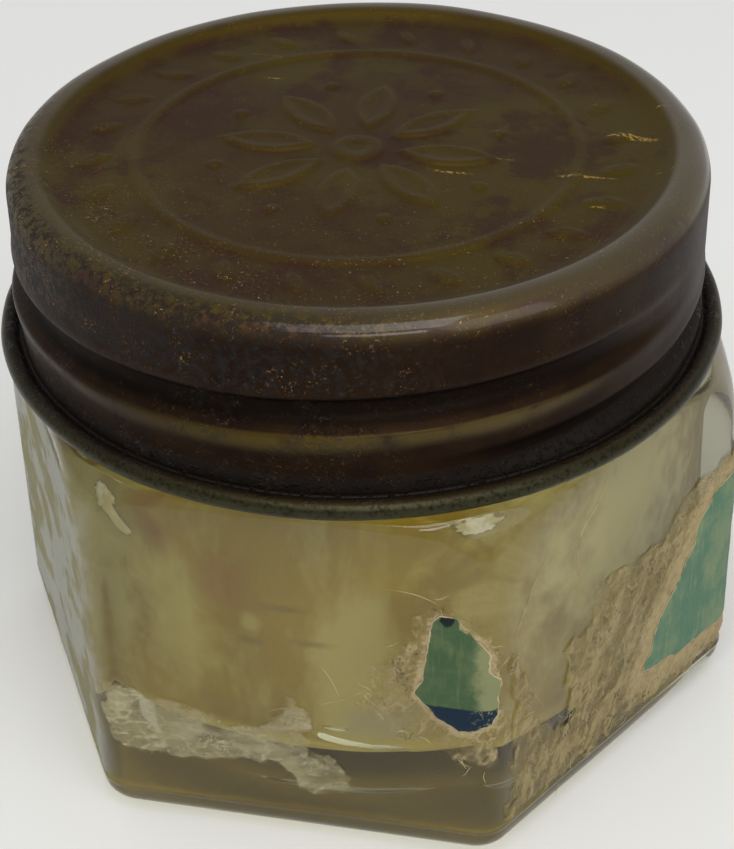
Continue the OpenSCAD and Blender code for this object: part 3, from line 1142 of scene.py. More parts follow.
@dataclass
class Jar:
    """The moulded glass: six flats, rounded corners, heel and shoulder, threaded neck and round well."""

    screw: Screw
    corner_r: float = 2.5
    heel_r: float = 2.2
    shoulder_r: float = 14.0
    shoulder_fall: float = 2.1
    shoulder_soft: float = 0.6
    shoulder_edge_r: float = 1.2
    shoulder_drop: float = 12.33
    neck_r: float = 23.2
    neck_round: float = 0.4
    bore_r: float = 20.0
    rim_edge_r: float = 0.8
    floor_z: float = 5.0
    floor_r: float = 4.0
    hollow_r: float = 16.0
    hollow_depth: float = 0.6
    thread_depth: float = 1.2
    thread_half: float = 0.75
    thread_drop: float = 6.48
    waviness: float = 0.05
    wave_length: float = 15.0
    wave_rise: float = 3.0
    chill: float = 0.1
    chill_length: float = 6.0
    chill_rise: float = 3.0
    chill_out: float = 0.7
    flat_columns: int = 34
    corner_columns: int = 14
    seam_z: float = 2.6
    seam_half: float = 0.22
    seam_height: float = 0.09
    bubble_at: tuple[float, float, float] = (2.9, -23.8, 10.5)
    bubble_half: tuple[float, float, float] = (0.95, 0.2, 0.2)
    sheen_sides: tuple[float, float] = (177.0, 242.0)
    sheen_levels: tuple[float, float] = (1.9, 28.2)
    sheen_off: float = 0.08
    half_flats: float = field(init=False)
    rim_z: float = field(init=False)

    def __post_init__(self) -> None:
        """Takes the jar's width and height from the frame."""
        low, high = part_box("glass_jar")
        self.half_flats = (high.y - low.y) / 2 / MM
        self.rim_z = high.z / MM

    @property
    def shoulder_z(self) -> float:
        """Height of the top of the shoulder."""
        return self.rim_z - self.shoulder_drop

    @property
    def floor_top(self) -> float:
        """Height where the round of the well's floor ends."""
        return self.floor_z + self.floor_r

    def corner_axis(self, half_flats: float) -> float:
        """Distance of the middle of a corner's round from the axis."""
        return (half_flats - self.corner_r) / math.cos(HALF_STEP_RAD)

    def _corner_edge(self, half_flats: float) -> float:
        """Angle from a corner's middle to the edge of its round, seen from the axis, in radians."""
        reach = self.corner_axis(half_flats) + self.corner_r * math.cos(HALF_STEP_RAD)
        return math.atan2(self.corner_r * math.sin(HALF_STEP_RAD), reach)

    def _angles(self) -> np.ndarray:
        """Angles of the columns, close together on the corners and even along the flats.

        Returns:
            The angles.
        """
        edge = self._corner_edge(self.half_flats)
        corner = np.linspace(-edge, edge, self.corner_columns, endpoint=False)
        along = np.linspace(-1, 1, self.flat_columns, endpoint=False) * math.tan(HALF_STEP_RAD - edge)
        one = np.degrees(np.concatenate([corner, HALF_STEP_RAD + np.arctan(along)]))
        return np.concatenate([one + FLAT_STEP * i for i in range(FLATS)])

    def _hexagon(self, angle: np.ndarray, half_flats: float) -> np.ndarray:
        """Radius of a six-sided outline with rounded corners.

        Args:
            angle: angles round the axis.
            half_flats: half the width across its flats.

        Returns:
            The radii.
        """
        local = np.radians((angle + FLAT_STEP / 2) % FLAT_STEP - FLAT_STEP / 2)
        axis_r = self.corner_axis(half_flats)
        inside = np.maximum(self.corner_r**2 - (axis_r * np.sin(local)) ** 2, 0)
        corner = axis_r * np.cos(local) + np.sqrt(inside)
        flat = half_flats / np.cos(HALF_STEP_RAD - np.abs(local))
        return np.where(np.abs(local) < self._corner_edge(half_flats), corner, flat)

    def _wall(self, angle: np.ndarray, half_flats: float, z: float) -> np.ndarray:
        """Radius of the outside at one height, with the corners rounded over at the shoulder.

        Args:
            angle: angles round the axis.
            half_flats: half the width across its flats.
            z: the height.

        Returns:
            The radii.
        """
        start = self.shoulder_z - math.sqrt(self.shoulder_fall * (2 * self.shoulder_r - self.shoulder_fall))
        outline = self._hexagon(angle, half_flats)
        if z <= start:
            return outline
        corner_reach = self.corner_axis(self.half_flats) + self.corner_r
        limit = corner_reach - self.shoulder_r + math.sqrt(self.shoulder_r**2 - (z - start) ** 2)
        near = np.maximum(self.shoulder_soft - np.abs(outline - limit), 0) / self.shoulder_soft
        return np.minimum(outline, limit) - near**2 * self.shoulder_soft / 4

    def _neck(self, angle: np.ndarray, z: float) -> np.ndarray:
        """Radius of the neck with its thread at one height.

        Args:
            angle: angles round the axis.
            z: the height.

        Returns:
            The radii.
        """
        radius = np.full_like(angle, self.neck_r)
        low_z = self.rim_z - self.thread_drop
        for rise, depth in self.screw.passes(angle, 0, 360):
            radius += depth * self.thread_depth * np.exp(-(((z - low_z - rise) / self.thread_half) ** 4))
        return radius

    def _rings(self) -> np.ndarray:
        """Rings of the whole jar, from the middle of its base, over the rim, to the middle of its well.

        Returns:
            The points by row, column and axis.
        """
        angle = self._angles()
        lathe = Lathe(angle)
        rim_axis_z = self.rim_z - self.rim_edge_r

        # The base with its hollow, and the heel.
        slope = 2 * self.hollow_depth
        lathe.rounds(np.linspace(1.0, self.hollow_r - slope, 6), self.hollow_depth)
        lathe.rounds((self.hollow_r - slope * 0.4, self.hollow_r), (self.hollow_depth * 0.3, 0))
        foot = self.half_flats - self.heel_r
        for share in (0.35, 0.7):
            lathe.ring(self.hollow_r + share * (self._hexagon(angle, foot) - self.hollow_r), 0)
        for bend in np.radians(np.linspace(0, 90, 10)):
            width = foot + self.heel_r * math.sin(bend)
            lathe.ring(self._hexagon(angle, width), self.heel_r * (1 - math.cos(bend)))

        # The mould seam, the flats and the shoulder.
        for share in np.linspace(-1, 1, 7):
            bulge = self.seam_height * (1 - share**2)
            lathe.ring(self._hexagon(angle, self.half_flats) + bulge, self.seam_z + self.seam_half * share)
        edge_z = self.shoulder_z - self.shoulder_edge_r
        for z in np.linspace(self.seam_z, edge_z, 40)[1:]:
            lathe.ring(self._wall(angle, self.half_flats, z), z)
        for bend in np.radians(np.linspace(12, 90, 7)):
            z = edge_z + self.shoulder_edge_r * math.sin(bend)
            brow = self._wall(angle, self.half_flats - self.shoulder_edge_r * (1 - math.cos(bend)), z)
            lathe.ring(brow, z)
        for share in (0.4, 0.8):
            lathe.ring(brow + share * (self.neck_r + self.neck_round - brow), self.shoulder_z)

        # The neck, the rim and the well.
        inset = self.neck_round * 0.3
        lathe.ring(self.neck_r + inset, self.shoulder_z + inset)
        for z in np.linspace(self.shoulder_z + self.neck_round, rim_axis_z, 44):
            lathe.ring(self._neck(angle, z), z)
        lathe.arc(self.neck_r - self.rim_edge_r, rim_axis_z, self.rim_edge_r, (15, 90), 6)
        lathe.arc(self.bore_r + self.rim_edge_r, rim_axis_z, self.rim_edge_r, (90, 180), 7)
        lathe.rounds(self.bore_r, np.linspace(rim_axis_z, self.floor_top, 22)[1:])
        lathe.arc(self.bore_r - self.floor_r, self.floor_top, self.floor_r, (-8, -90), 11)
        lathe.rounds(np.linspace(self.bore_r - self.floor_r, 0.8, 8)[1:], self.floor_z)
        return lathe.points()

    def _bubble(self) -> Shape:
        """A long air bubble in the thick base, with its faces turned inwards.

        Returns:
            Its shape.
        """
        ball = Lathe(24)
        ball.arc(0, 0, 1, (-80, 80), 13)
        points, faces = skin(ball.points())
        return points * self.bubble_half + self.bubble_at, [tuple(reversed(face)) for face in faces]

    def _painted_sheen(self) -> None:
        """Builds the grey-white film on the left face that paints a reflection."""
        first, last = self.sheen_sides
        angle = self._angles()
        patch = Lathe(angle[(angle > first) & (angle < last)])
        levels = np.linspace(*self.sheen_levels, 40)
        for z in levels:
            patch.ring(self._wall(patch.angle, self.half_flats, z) + self.sheen_off, z)
        columns = len(patch.turn)
        starts = (np.arange(len(levels) - 1)[:, None] * columns + np.arange(columns - 1)).ravel().tolist()
        faces = [(s, s + 1, s + columns + 1, s + columns) for s in starts]
        sideways = np.minimum(patch.turn - patch.turn[0], patch.turn[-1] - patch.turn) * self.half_flats
        upright = np.minimum(levels - levels[0], levels[-1] - levels)
        values = {"edge": np.minimum(sideways, upright[:, None]).ravel()}
        shape = (patch.points().reshape(-1, 3), faces)
        make_piece("left_painted_sheen", shape, Body.JAR, PaintedSheen().material(), values)

    def build(self) -> bpy.types.Object:
        """Builds and dresses the jar, wavy all over and chilled uneven low in the well.

        Returns:
            The piece.
        """
        rings = self._rings()
        away = outward(rings)
        sway = Ripple(5, self.wave_length)(rings) * self.waviness * ease(rings[..., 2], 0.0, self.wave_rise)
        rings = rings + sway[..., None] * away
        reach = np.linalg.norm(rings[..., :2], axis=-1)
        low = ease(reach, self.bore_r + 0.6, self.bore_r + 0.3)
        low = low * ease(rings[..., 2], 3.0, self.floor_z - 1.0)
        low = low * ease(rings[..., 2], self.floor_top + self.chill_rise, self.floor_top)
        chill = self.chill * Ripple(7, self.chill_length)(rings) * low
        rings[..., 2] += chill
        rings += self.chill_out * chill[..., None] * away
        self._painted_sheen()
        shape = joined([skin(rings), self._bubble()])
        piece = make_piece("jar_glass", shape, Body.JAR, MouldedGlass().material())
        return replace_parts(piece, "glass_jar")


@dataclass(frozen=True)
class Flake:
    """A pale flake on the filling that paints a highlight. A taper of 0.2 makes its top that much wider."""

    side: float
    z: float
    half_width: float
    half_height: float
    taper: float


@dataclass
class Filling:
    """The old ointment, which wets the glass but has drawn away from it along a thin groove low down."""

    jar: Jar
    wetting: float = 0.12
    groove_side: float = -77.0
    groove_spread: float = 14.0
    groove_rise: float = 1.7
    groove_fall: float = 0.08
    groove_half: float = 0.4
    groove_depth: float = 0.35
    stray_length: float = 5.0
    stray_side: float = 3.0
    stray_rise: float = 0.2
    flakes: tuple[Flake, ...] = (Flake(-129.8, 22.5, 0.95, 0.8, 0.2), Flake(-57.0, 24.4, 1.5, 0.6, 0.0))
    flake_height: float = 0.05
    flake_rough: float = 0.2
    lumps: float = 0.7
    lump_length: float = 11.0
    lump_margin: float = 2.5
    columns: int = 420

    def build(self) -> bpy.types.Object:
        """Builds and dresses the filling and the pale flakes on it that paint highlights.

        Returns:
            The piece of the filling.
        """
        jar = self.jar
        top_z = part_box("ointment")[1].z / MM
        radius = jar.bore_r + self.wetting
        low = jar.floor_z - self.wetting
        round_r = radius - jar.floor_r
        lathe = Lathe(self.columns)
        lathe.rounds(np.linspace(0.6, round_r, 10), low)
        lathe.arc(round_r, low + jar.floor_r, jar.floor_r, (-86, 0), 44)
        lathe.rounds(radius, np.linspace(low + jar.floor_r, top_z - 0.6, 90)[1:])
        lathe.rounds(np.linspace(radius - 0.3, 0.6, 30), top_z)
        rings = lathe.points()
        reach = np.linalg.norm(rings[..., :2], axis=-1)

        # The groove, which strays a little and falls to the right.
        stray = Ripple(31, self.stray_length, octaves=3)(rings)
        beside = (lathe.angle - self.groove_side + 180) % 360 - 180
        spread = np.abs(beside) + self.stray_side * stray
        middle = low + self.groove_rise - self.groove_fall * beside + self.stray_rise * stray
        drawn = self.groove_depth * np.exp(-(((rings[..., 2] - middle) / self.groove_half) ** 2))
        drawn = drawn * ease(spread, self.groove_spread, self.groove_spread * 0.5)
        drawn = drawn * ease(reach, round_r, round_r + 1.0)
        rings[..., :2] *= (1 - drawn / radius)[..., None]
        rings[..., 2] += drawn

        # The lumpy top.
        upper = ease(rings[..., 2], top_z - 1.0, top_z - 0.2)
        swirl = (Ripple(17, self.lump_length, octaves=3)(rings) - 0.5) * self.lumps
        rings[..., 2] += upper * swirl * ease(reach, radius, radius - self.lump_margin)
        piece = make_piece("filling", skin(rings), Body.JAR, OldOintment().material())
        # Painted highlights: pale flakes where the shoulder corners show bright reflections.
        make_piece("highlight_flakes", self._highlight_flakes(radius), Body.JAR, HighlightFlakeFinish().material())
        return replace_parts(piece, "ointment")

    def _highlight_flakes(self, radius: float) -> Shape:
        """Thin ragged pale flakes on the side of the filling, as painted highlights.

        Args:
            radius: radius of the side of the filling.

        Returns:
            Their shape.
        """
        turn = np.radians(np.arange(60) * 6.0)
        spread = np.array([0.1, 0.5, 0.85, 1.0, 0.85, 0.5, 0.1])[:, None]
        lift = np.array([-1.0, -1.0, -1.0, 0.0, 0.6, 1.0, 1.0])[:, None] * self.flake_height
        shapes = []
        for number, flake in enumerate(self.flakes):
            rim = np.column_stack([np.cos(turn), np.sin(turn)])
            ragged = Ripple(seed=71 + number, length=0.9, octaves=3, axes=2)(rim)
            rim *= (1 + self.flake_rough * ragged)[:, None]
            rim[:, 0] *= 1 + flake.taper * rim[:, 1]
            angle = math.radians(flake.side) + spread * rim[:, 0] * flake.half_width / radius
            up = spread * rim[:, 1] * flake.half_height
            out = radius + lift
            shapes.append(skin(np.stack([out * np.cos(angle), out * np.sin(angle), flake.z + up], -1)))
        return joined(shapes)


@dataclass
class Liner:
    """The pulp-board wad of the lid and its waxed facing, printed by the glass rim."""

    jar: Jar
    dent: float = 0.07
    bevel: float = 0.25
    fray: float = 0.0025
    columns: int = 180

    def _disc(self, node: str, dent: float) -> Shape:
        """A disc in the place of a node, with an uneven edge.

        Args:
            node: the node whose place it takes.
            dent: how deep the glass rim has marked its underside.

        Returns:
            The shape.
        """
        low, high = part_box(node)
        radius = (high.x - low.x) / 2 / MM
        z0, z1 = low.z / MM, high.z / MM
        bevel = (z1 - z0) * self.bevel
        under = np.linspace(0.8, radius - bevel, 46)
        mark = dent * ease(under, self.jar.bore_r - 0.3, self.jar.bore_r + 0.5)
        mark = mark * ease(under, self.jar.neck_r + 0.3, self.jar.neck_r - 0.4)
        lathe = Lathe(self.columns)
        lathe.rounds(under, z0 + mark)
        lathe.rounds(radius, (z0 + bevel, z1 - bevel))
        lathe.rounds(np.linspace(radius - bevel, 0.8, 12), z1)
        rings = lathe.points()
        rings[..., :2] *= (1 + self.fray * (Ripple(seed=41, length=3.0)(rings) - 1))[..., None]
        return skin(rings)

    def build(self) -> list[bpy.types.Object]:
        """Builds and dresses the wad and its facing.

        Returns:
            The two pieces.
        """
        disc = self._disc("liner_card", 0.0)
        card = make_piece("wad", disc, Body.LINER, PulpBoard().material())
        waxed = WaxedPaper().material(self.jar.bore_r, self.jar.neck_r)
        disc = self._disc("liner_facing", self.dent)
        facing = make_piece("wad_facing", disc, Body.LINER, waxed)
        return [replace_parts(card, "liner_card"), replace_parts(facing, "liner_facing")]


@dataclass(frozen=True)
class Wrap:
    """The glass round the front right corner, rolled out flat.

    A place on it is its distance along the glass from the corner, to the right, and its height.
    """

    jar: Jar
    corner_angle: float = -60.0

    @property
    def _axis_r(self) -> float:
        """Distance of the middle of the corner's round from the axis."""
        return self.jar.corner_axis(self.jar.half_flats)

    @property
    def _half_arc(self) -> float:
        """Half the length of the corner's round."""
        return self.jar.corner_r * HALF_STEP_RAD

    @property
    def flat_length(self) -> float:
        """Length of a flat between the rounds of two corners."""
        return 2 * (self.jar.half_flats - self.jar.corner_r) * math.tan(HALF_STEP_RAD)

    @property
    def flat_end(self) -> float:
        """Distance along the glass to the far end of the flat."""
        return self._half_arc + self.flat_length

    def unroll(self, points: np.ndarray) -> np.ndarray:
        """Places of points near the glass.

        Args:
            points: points in millimetres.

        Returns:
            For each, the distance along the glass, the height, and the distance off the glass.
        """
        x, y = turned(points[..., 0], points[..., 1], -self.corner_angle)
        dx, dy = x - self._axis_r, np.abs(y)
        bend = np.arctan2(dy, dx)
        along = dy * math.cos(HALF_STEP_RAD) - dx * math.sin(HALF_STEP_RAD)
        off = dx * math.cos(HALF_STEP_RAD) + dy * math.sin(HALF_STEP_RAD)
        on_round = bend < HALF_STEP_RAD
        length = np.where(on_round, self.jar.corner_r * bend, self._half_arc + along)
        lift = np.where(on_round, np.hypot(dx, dy), off) - self.jar.corner_r
        return np.stack([np.sign(y) * length, points[..., 2], lift], -1)

    def roll(self, places: np.ndarray) -> np.ndarray:
        """Points at places on the glass.

        Args:
            places: distance along the glass, height, and distance off the glass.

        Returns:
            The points in millimetres.
        """
        length = np.abs(places[..., 0])
        side = np.where(places[..., 0] < 0, -1.0, 1.0)
        run = np.clip(length - self._half_arc, 0, self.flat_length)
        bend = np.minimum(length / self.jar.corner_r, HALF_STEP_RAD)
        bend = bend + np.maximum(length - self.flat_end, 0) / self.jar.corner_r
        reach = self.jar.corner_r + places[..., 2]
        x = self._axis_r + reach * np.cos(bend) - run * math.sin(HALF_STEP_RAD)
        y = side * (reach * np.sin(bend) + run * math.cos(HALF_STEP_RAD))
        return np.stack([*turned(x, y, self.corner_angle), places[..., 1]], -1)


@dataclass
class TornSheet:
    """A torn paper on the glass, cut by its node's outline with a ragged edge, and folded.

    It can run on past the end of the flat, round the next corner. It can also be longer than its node to the
    left, be raised at its left end, and lie a little along the glass and up from its node. Its folds lean by
    an angle above the level. Beside a scrap on top of it, more of it is left, as far as the lip goes.
    """

    wrap: Wrap
    node: str
    name: str
    slot: Slot
    finish: TornBacking | PrintedPly
    seed: int
    ragged: float
    fold_seed: int
    lean: float
    crumple: float
    cell: float = 0.16
    tear_length: float = 3.2
    fold_length: float = 2.6
    fold_stretch: float = 0.5
    fold_sharpness: float = 3.2
    patch_length: float = 9.0
    glue: float = 0.012
    thinnest: float = 0.25
    taper_width: float = 0.5
    run_on: float = 0.0
    end_margin: float = 0.5
    stretch: float = 1.0
    upturn: float = 0.0
    shift: tuple[float, float] = (0.0, 0.0)
    scrap: "TornSheet | None" = None
    lip: float = 1.0
    edges: np.ndarray = field(init=False)
    lift: tuple[float, float] = field(init=False)

    def __post_init__(self) -> None:
        """Reads the node's outline and fits it to what the photo shows."""
        self.edges, self.lift = self._outline()
        along = self.edges[..., 0]
        along += self.run_on * (along > self.wrap.flat_end - self.end_margin)
        right = along.max()
        along[...] = right + (along - right) * self.stretch
        far = (right - along) / (right - along.min())
        self.edges[..., 1] += self.upturn * ease(far, 0.6, 1.0)
        self.edges += self.shift

    def _outline(self) -> tuple[np.ndarray, tuple[float, float]]:
        """Reads the outline of the node's outer face.

        Returns:
            The outline as pieces of line, and how far off the glass the node's two faces lie.
        """
        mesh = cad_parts[self.node].data
        points = self.wrap.unroll(np.array([v.co for v in mesh.vertices]) / MM)
        low, high = float(points[:, 2].min()), float(points[:, 2].max())
        outer = points[:, 2] > (low + high) / 2
        merged: dict[tuple[int, ...], int] = {}
        names = [merged.setdefault(tuple(np.round(p * 500).astype(int)), i) for i, p in enumerate(points)]
        count: dict[tuple[int, int], int] = {}
        for face in mesh.polygons:
            if all(outer[i] for i in face.vertices):
                loop = [names[i] for i in face.vertices]
                for a, b in zip(loop, loop[1:] + loop[:1]):
                    key = (min(a, b), max(a, b))
                    count[key] = count.get(key, 0) + 1
        pairs = [key for key, uses in count.items() if uses == 1 and key[0] != key[1]]
        return np.array([[points[a, :2], points[b, :2]] for a, b in pairs]), (low, high)

    def depth(self, places: np.ndarray) -> np.ndarray:
        """Distance of each place inside the outline, negative outside it.

        Args:
            places: places on the glass.

        Returns:
            The distances.
        """
        nearest = np.full(len(places), np.inf)
        crossings = np.zeros(len(places), int)
        for a, b in self.edges:
            line = b - a
            share = np.clip(((places - a) @ line) / max(float(line @ line), TINY**2), 0, 1)
            nearest = np.minimum(nearest, np.linalg.norm(places - a - share[:, None] * line, axis=1))
            spans = (a[1] > places[:, 1]) != (b[1] > places[:, 1])
            if spans.any():
                at = a[0] + (places[:, 1] - a[1]) / (b[1] - a[1]) * line[0]
                crossings += spans & (at > places[:, 0])
        return np.where(crossings % 2 == 1, nearest, -nearest)

    def cut(self) -> tuple[np.ndarray, list[tuple[int, ...]], np.ndarray]:
        """Cuts a grid of cells along the tear.

        Returns:
            Places on the glass, faces, and each place's distance inside the tear.
        """
        margin = 2 * self.cell + self.ragged
        low = self.edges.reshape(-1, 2).min(0) - margin
        high = self.edges.reshape(-1, 2).max(0) + margin
        columns = np.arange(low[0], high[0], self.cell)
        levels = np.arange(low[1], high[1], self.cell)
        grid = np.stack(np.meshgrid(columns, levels), -1).reshape(-1, 2)
        tear = Ripple(self.seed, self.tear_length, octaves=4, axes=2)
        value = self.depth(grid) + self.ragged * tear(grid)
        inside = value > 0
        places: list[np.ndarray] = []
        kept: list[float] = []
        index: dict[tuple[int, int], int] = {}

        def number(a: int, b: int) -> int:
            """Keeps a grid point, or the place where the tear crosses a side of a cell.

            Args:
                a: a grid point inside the tear, or one end of a side that the tear crosses.
                b: the same point, or the other end of the side.

            Returns:
                Its number.
            """
            key = (min(a, b), max(a, b))
            if key not in index:
                index[key] = len(places)
                share = 0.0 if a == b else value[a] / (value[a] - value[b])
                places.append(grid[a] + share * (grid[b] - grid[a]))
                kept.append(float(value[a]) if a == b else 0.0)
            return index[key]

        faces: list[tuple[int, ...]] = []
        width = len(columns)
        for row in range(len(levels) - 1):
            for start in range(row * width, row * width + width - 1):
                ring = (start, start + 1, start + width + 1, start + width)
                loop: list[int] = []
                for a, b in zip(ring, ring[1:] + ring[:1]):
                    if inside[a]:
                        loop.append(number(a, a))
                    if inside[a] != inside[b]:
                        loop.append(number(a, b))
                if len(loop) > 2:
                    faces.append(tuple(loop))
        return np.array(places), faces, np.array(kept)

    def build(self) -> bpy.types.Object:
        """Builds and dresses the paper as a thin closed sheet.

        Returns:
            The piece.
        """
        places, faces, depth = self.cut()
        count = len(places)
        low, high = self.lift
        run, rise = turned(places[:, 0], places[:, 1], -self.lean)
        folds = Ripple(self.fold_seed, self.fold_length, octaves=3, axes=2)
        folded = folds(np.column_stack([run * self.fold_stretch, rise]))
        patchy = ease(Ripple(self.fold_seed + 1, self.patch_length, axes=2)(places), -0.1, 0.7)
        build = np.maximum(0, 1 - np.abs(folded) * self.fold_sharpness) ** 2 * patchy
        beside = np.zeros(count)
        if self.scrap is not None:
            beside = ease(self.scrap.depth(places), -self.lip, -0.2 * self.lip)
        taper = ease(depth, 0.0, self.taper_width)
        thick = (high - low) * (self.thinnest + (1 - self.thinnest) * taper)
        top = low + self.glue + thick + self.crumple * build * taper
        upper = self.wrap.roll(np.column_stack([places, top]))
        under = self.wrap.roll(np.column_stack([places, np.full(count, low)]))
        sides = dict.fromkeys((a, b) for face in faces for a, b in zip(face, face[1:] + face[:1]))
        walls = [(b, a, a + count, b + count) for a, b in sides if (b, a) not in sides]
        bottom = [tuple(i + count for i in reversed(face)) for face in faces]
        values = {
            "edge": np.concatenate([depth, depth * 0]),
            "along": np.tile(places[:, 0], 2),
            "build": np.tile(build, 2),
            "beside": np.tile(beside, 2),
        }
        shape = (np.concatenate([upper, under]), faces + walls + bottom)
        piece = make_piece(self.name, shape, Body.JAR, self.finish.material(), values)
        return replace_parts(piece, self.node)


@dataclass(frozen=True)
class Hair:
    """A long fibre on the glass, from one place to another, bowed by a share of its length."""

    start: tuple[float, float]
    end: tuple[float, float]
    bow: float


@dataclass
class Label:
    """What is left of the paper label: torn backing, two scraps of print, and loose fibres."""

    jar: Jar
    film: TornBacking = TornBacking(
        "glue_film",
        lean=8,
        paper="#a39b78",
        fibre="#bdb696",
        stain="#8f8664",
        opacity=0.56,
        crinkled=0.2,
        cracked=0.0,
        crumbly=0.04,
        mealy=0.15,
    )
    halo: TornBacking = TornBacking("corner_backing", lean=65, opacity=0.36, crinkled=0.35, crumbly=0.45)
    rough: TornBacking = TornBacking(
        "side_backing", lean=62, paper="#93845a", fibre="#ac9c71", opacity=0.56, crinkled=0.4
    )
    corner_print: PrintedPly = PrintedPly(
        "corner_print",
        teal="#3f593a",
        cream="#8b8d64",
        band_top=14.45,
        rub_line=-0.9,
        soot_at=(-3.1, 22.1),
        border=0.08,
    )
    side_print: PrintedPly = PrintedPly("side_print", teal="#52765f")
    fibre_r: float = 0.024
    fibres: int = 20
    fibre_points: int = 9
    fibre_step: float = 0.14
    fibre_curl: float = 0.3
    fibre_pace: tuple[float, float] = (0.7, 1.5)
    fibre_stray: float = 0.3
    fibre_wave: float = 0.05
    fibre_clear: float = 0.2
    strand_sides: int = 4
    hair_points: int = 14
    fibre_seed: int = 61
    hairs: tuple[Hair, ...] = (
        Hair((-12.6, 17.4), (-10.6, 13.6), 0.06),
        Hair((-12.0, 13.0), (-8.6, 15.0), -0.05),
        Hair((-7.3, 23.9), (-3.6, 23.1), 0.08),
        Hair((-16.0, 11.6), (-13.2, 12.2), 0.1),
        Hair((1.9, 19.4), (6.8, 26.5), 0.05),
        Hair((1.4, 19.4), (5.5, 10.8), -0.04),
        Hair((7.6, 23.8), (12.0, 28.0), -0.1),
        Hair((9.0, 20.0), (9.8, 26.0), 0.12),
    )
    wrap: Wrap = field(init=False)

    def __post_init__(self) -> None:
        """Rolls out the glass that the label was on."""
        self.wrap = Wrap(self.jar)

    def _fibres(self, sheets: Sequence[TornSheet], cover: TornSheet) -> Shape:
        """Short curled fibres along the torn edges, and a few long hairs on the glass.

        Args:
            sheets: the papers whose edges they hang from.
            cover: a paper that has none on it.

        Returns:
            The shape.
        """
        rng = np.random.default_rng(self.fibre_seed)
        strands: list[Shape] = []
        for sheet in sheets:
            lengths = np.linalg.norm(sheet.edges[:, 1] - sheet.edges[:, 0], axis=1)
            lift = sheet.lift[1] + self.fibre_r
            for pick in rng.choice(len(lengths), self.fibres, p=lengths / lengths.sum()):
                a, b = sheet.edges[pick]
                place = a + rng.uniform() * (b - a) + rng.normal(0, self.fibre_stray, 2)
                heading = rng.uniform(0, 2 * math.pi)
                path = []
                for step in range(self.fibre_points):
                    path.append((*place, lift + self.fibre_wave * math.sin(step * 0.9 + heading) ** 2))
                    heading += rng.normal(0, self.fibre_curl)
                    stride = self.fibre_step * rng.uniform(*self.fibre_pace)
                    place = place + stride * np.array([math.cos(heading), math.sin(heading)])
                if cover.depth(np.array(path)[:, :2]).max() < -self.fibre_clear:
                    strands.append(self._strand(np.array(path)))
        share = np.linspace(0, 1, self.hair_points)[:, None]
        for hair in self.hairs:
            start, end = np.array(hair.start), np.array(hair.end)
            across = np.array([start[1] - end[1], end[0] - start[0]])
            line = start + share * (end - start) + hair.bow * np.sin(math.pi * share) * across
            strands.append(self._strand(np.column_stack([line, np.full(len(share), self.fibre_r)])))
        return joined(strands)

    def _strand(self, places: np.ndarray) -> Shape:
        """A thin tapered strand along places on the glass.

        Args:
            places: distance along the glass, height, and distance off the glass.

        Returns:
            Its shape.
        """
        path = self.wrap.roll(places)
        tangent = np.gradient(path, axis=0)
        tangent /= np.linalg.norm(tangent, axis=1, keepdims=True)
        across = np.cross(tangent, (0.31, 0.22, 0.92))
        across /= np.linalg.norm(across, axis=1, keepdims=True)
        over = np.cross(tangent, across)
        sides = self.strand_sides
        width = self.fibre_r * np.sin(np.linspace(0.25, math.pi - 0.25, len(path)))[:, None, None]
        turns = np.arange(sides)[None, :, None] * 2 * math.pi / sides
        rings = path[:, None] + width * (np.cos(turns) * across[:, None] + np.sin(turns) * over[:, None])
        faces: list[tuple[int, ...]] = []
        last = (len(path) - 1) * sides
        for row in range(0, last, sides):
            for k in range(sides):
                a, b = row + k, row + (k + 1) % sides
                faces.append((a, b, b + sides, a + sides))
        faces.append(tuple(reversed(range(sides))))
        faces.append(tuple(range(last, last + sides)))
        return rings.reshape(-1, 3), faces

    def build(self) -> list[bpy.types.Object]:
        """Builds and dresses every paper and its fibres.

        Returns:
            The pieces.
        """
        front = TornSheet(
            self.wrap, "front_backing", "front_film", Slot.BACKING, self.film,
            seed=21, ragged=0.5, fold_seed=51, lean=10.0, crumple=0.03, stretch=1.09, upturn=1.1,
        )
        scrap = TornSheet(
            self.wrap, "corner_scrap", "corner_scrap_print", Slot.PRINT, self.corner_print,
            seed=24, ragged=0.16, fold_seed=54, lean=90.0, crumple=0.03, cell=0.12, shift=(-0.45, 0.45),
        )
        leaf = TornSheet(
            self.wrap, "side_scrap", "side_scrap_print", Slot.PRINT, self.side_print,
            seed=25, ragged=0.16, fold_seed=55, lean=62.0, crumple=0.04, run_on=1.9,
        )
        corner = TornSheet(
            self.wrap, "corner_backing", "corner_tear", Slot.BACKING, self.halo,
            seed=22, ragged=0.55, fold_seed=52, lean=70.0, crumple=0.07, shift=(-0.4, 0.4),
            scrap=scrap, lip=0.5,
        )
        side = TornSheet(
            self.wrap, "side_backing", "side_tear", Slot.BACKING, self.rough,
            seed=23, ragged=0.6, fold_seed=53, lean=62.0, crumple=0.13, run_on=2.1, scrap=leaf, lip=2.6,
        )
        pieces = [sheet.build() for sheet in (front, corner, side, scrap, leaf)]
        fibres = self._fibres([corner, side], leaf)
        pieces.append(make_piece("label_fibres", fibres, Body.JAR, LooseFibre().material()))
        return pieces


@dataclass(frozen=True)
class Lamp:
    """A soft rectangular lamp that faces the pot. Its places and sizes are in metres, its power in watts."""

    name: str
    spot: tuple[float, float, float]
    size: tuple[float, float]
    watts: float
    aim: tuple[float, float, float] = (0.0, 0.0, 0.025)

    def hang(self) -> None:
        """Hangs the lamp in its place."""
        data = bpy.data.lights.new(self.name, "AREA")
        data.shape = "RECTANGLE"
        data.size, data.size_y = self.size
        data.energy = self.watts
        lamp = bpy.data.objects.new(self.name, data)
        lamp.location = self.spot
        lamp.rotation_mode = "QUATERNION"
        lamp.rotation_quaternion = (Vector(self.aim) - Vector(self.spot)).to_track_quat("-Z", "Y")
        bpy.context.scene.collection.objects.link(lamp)


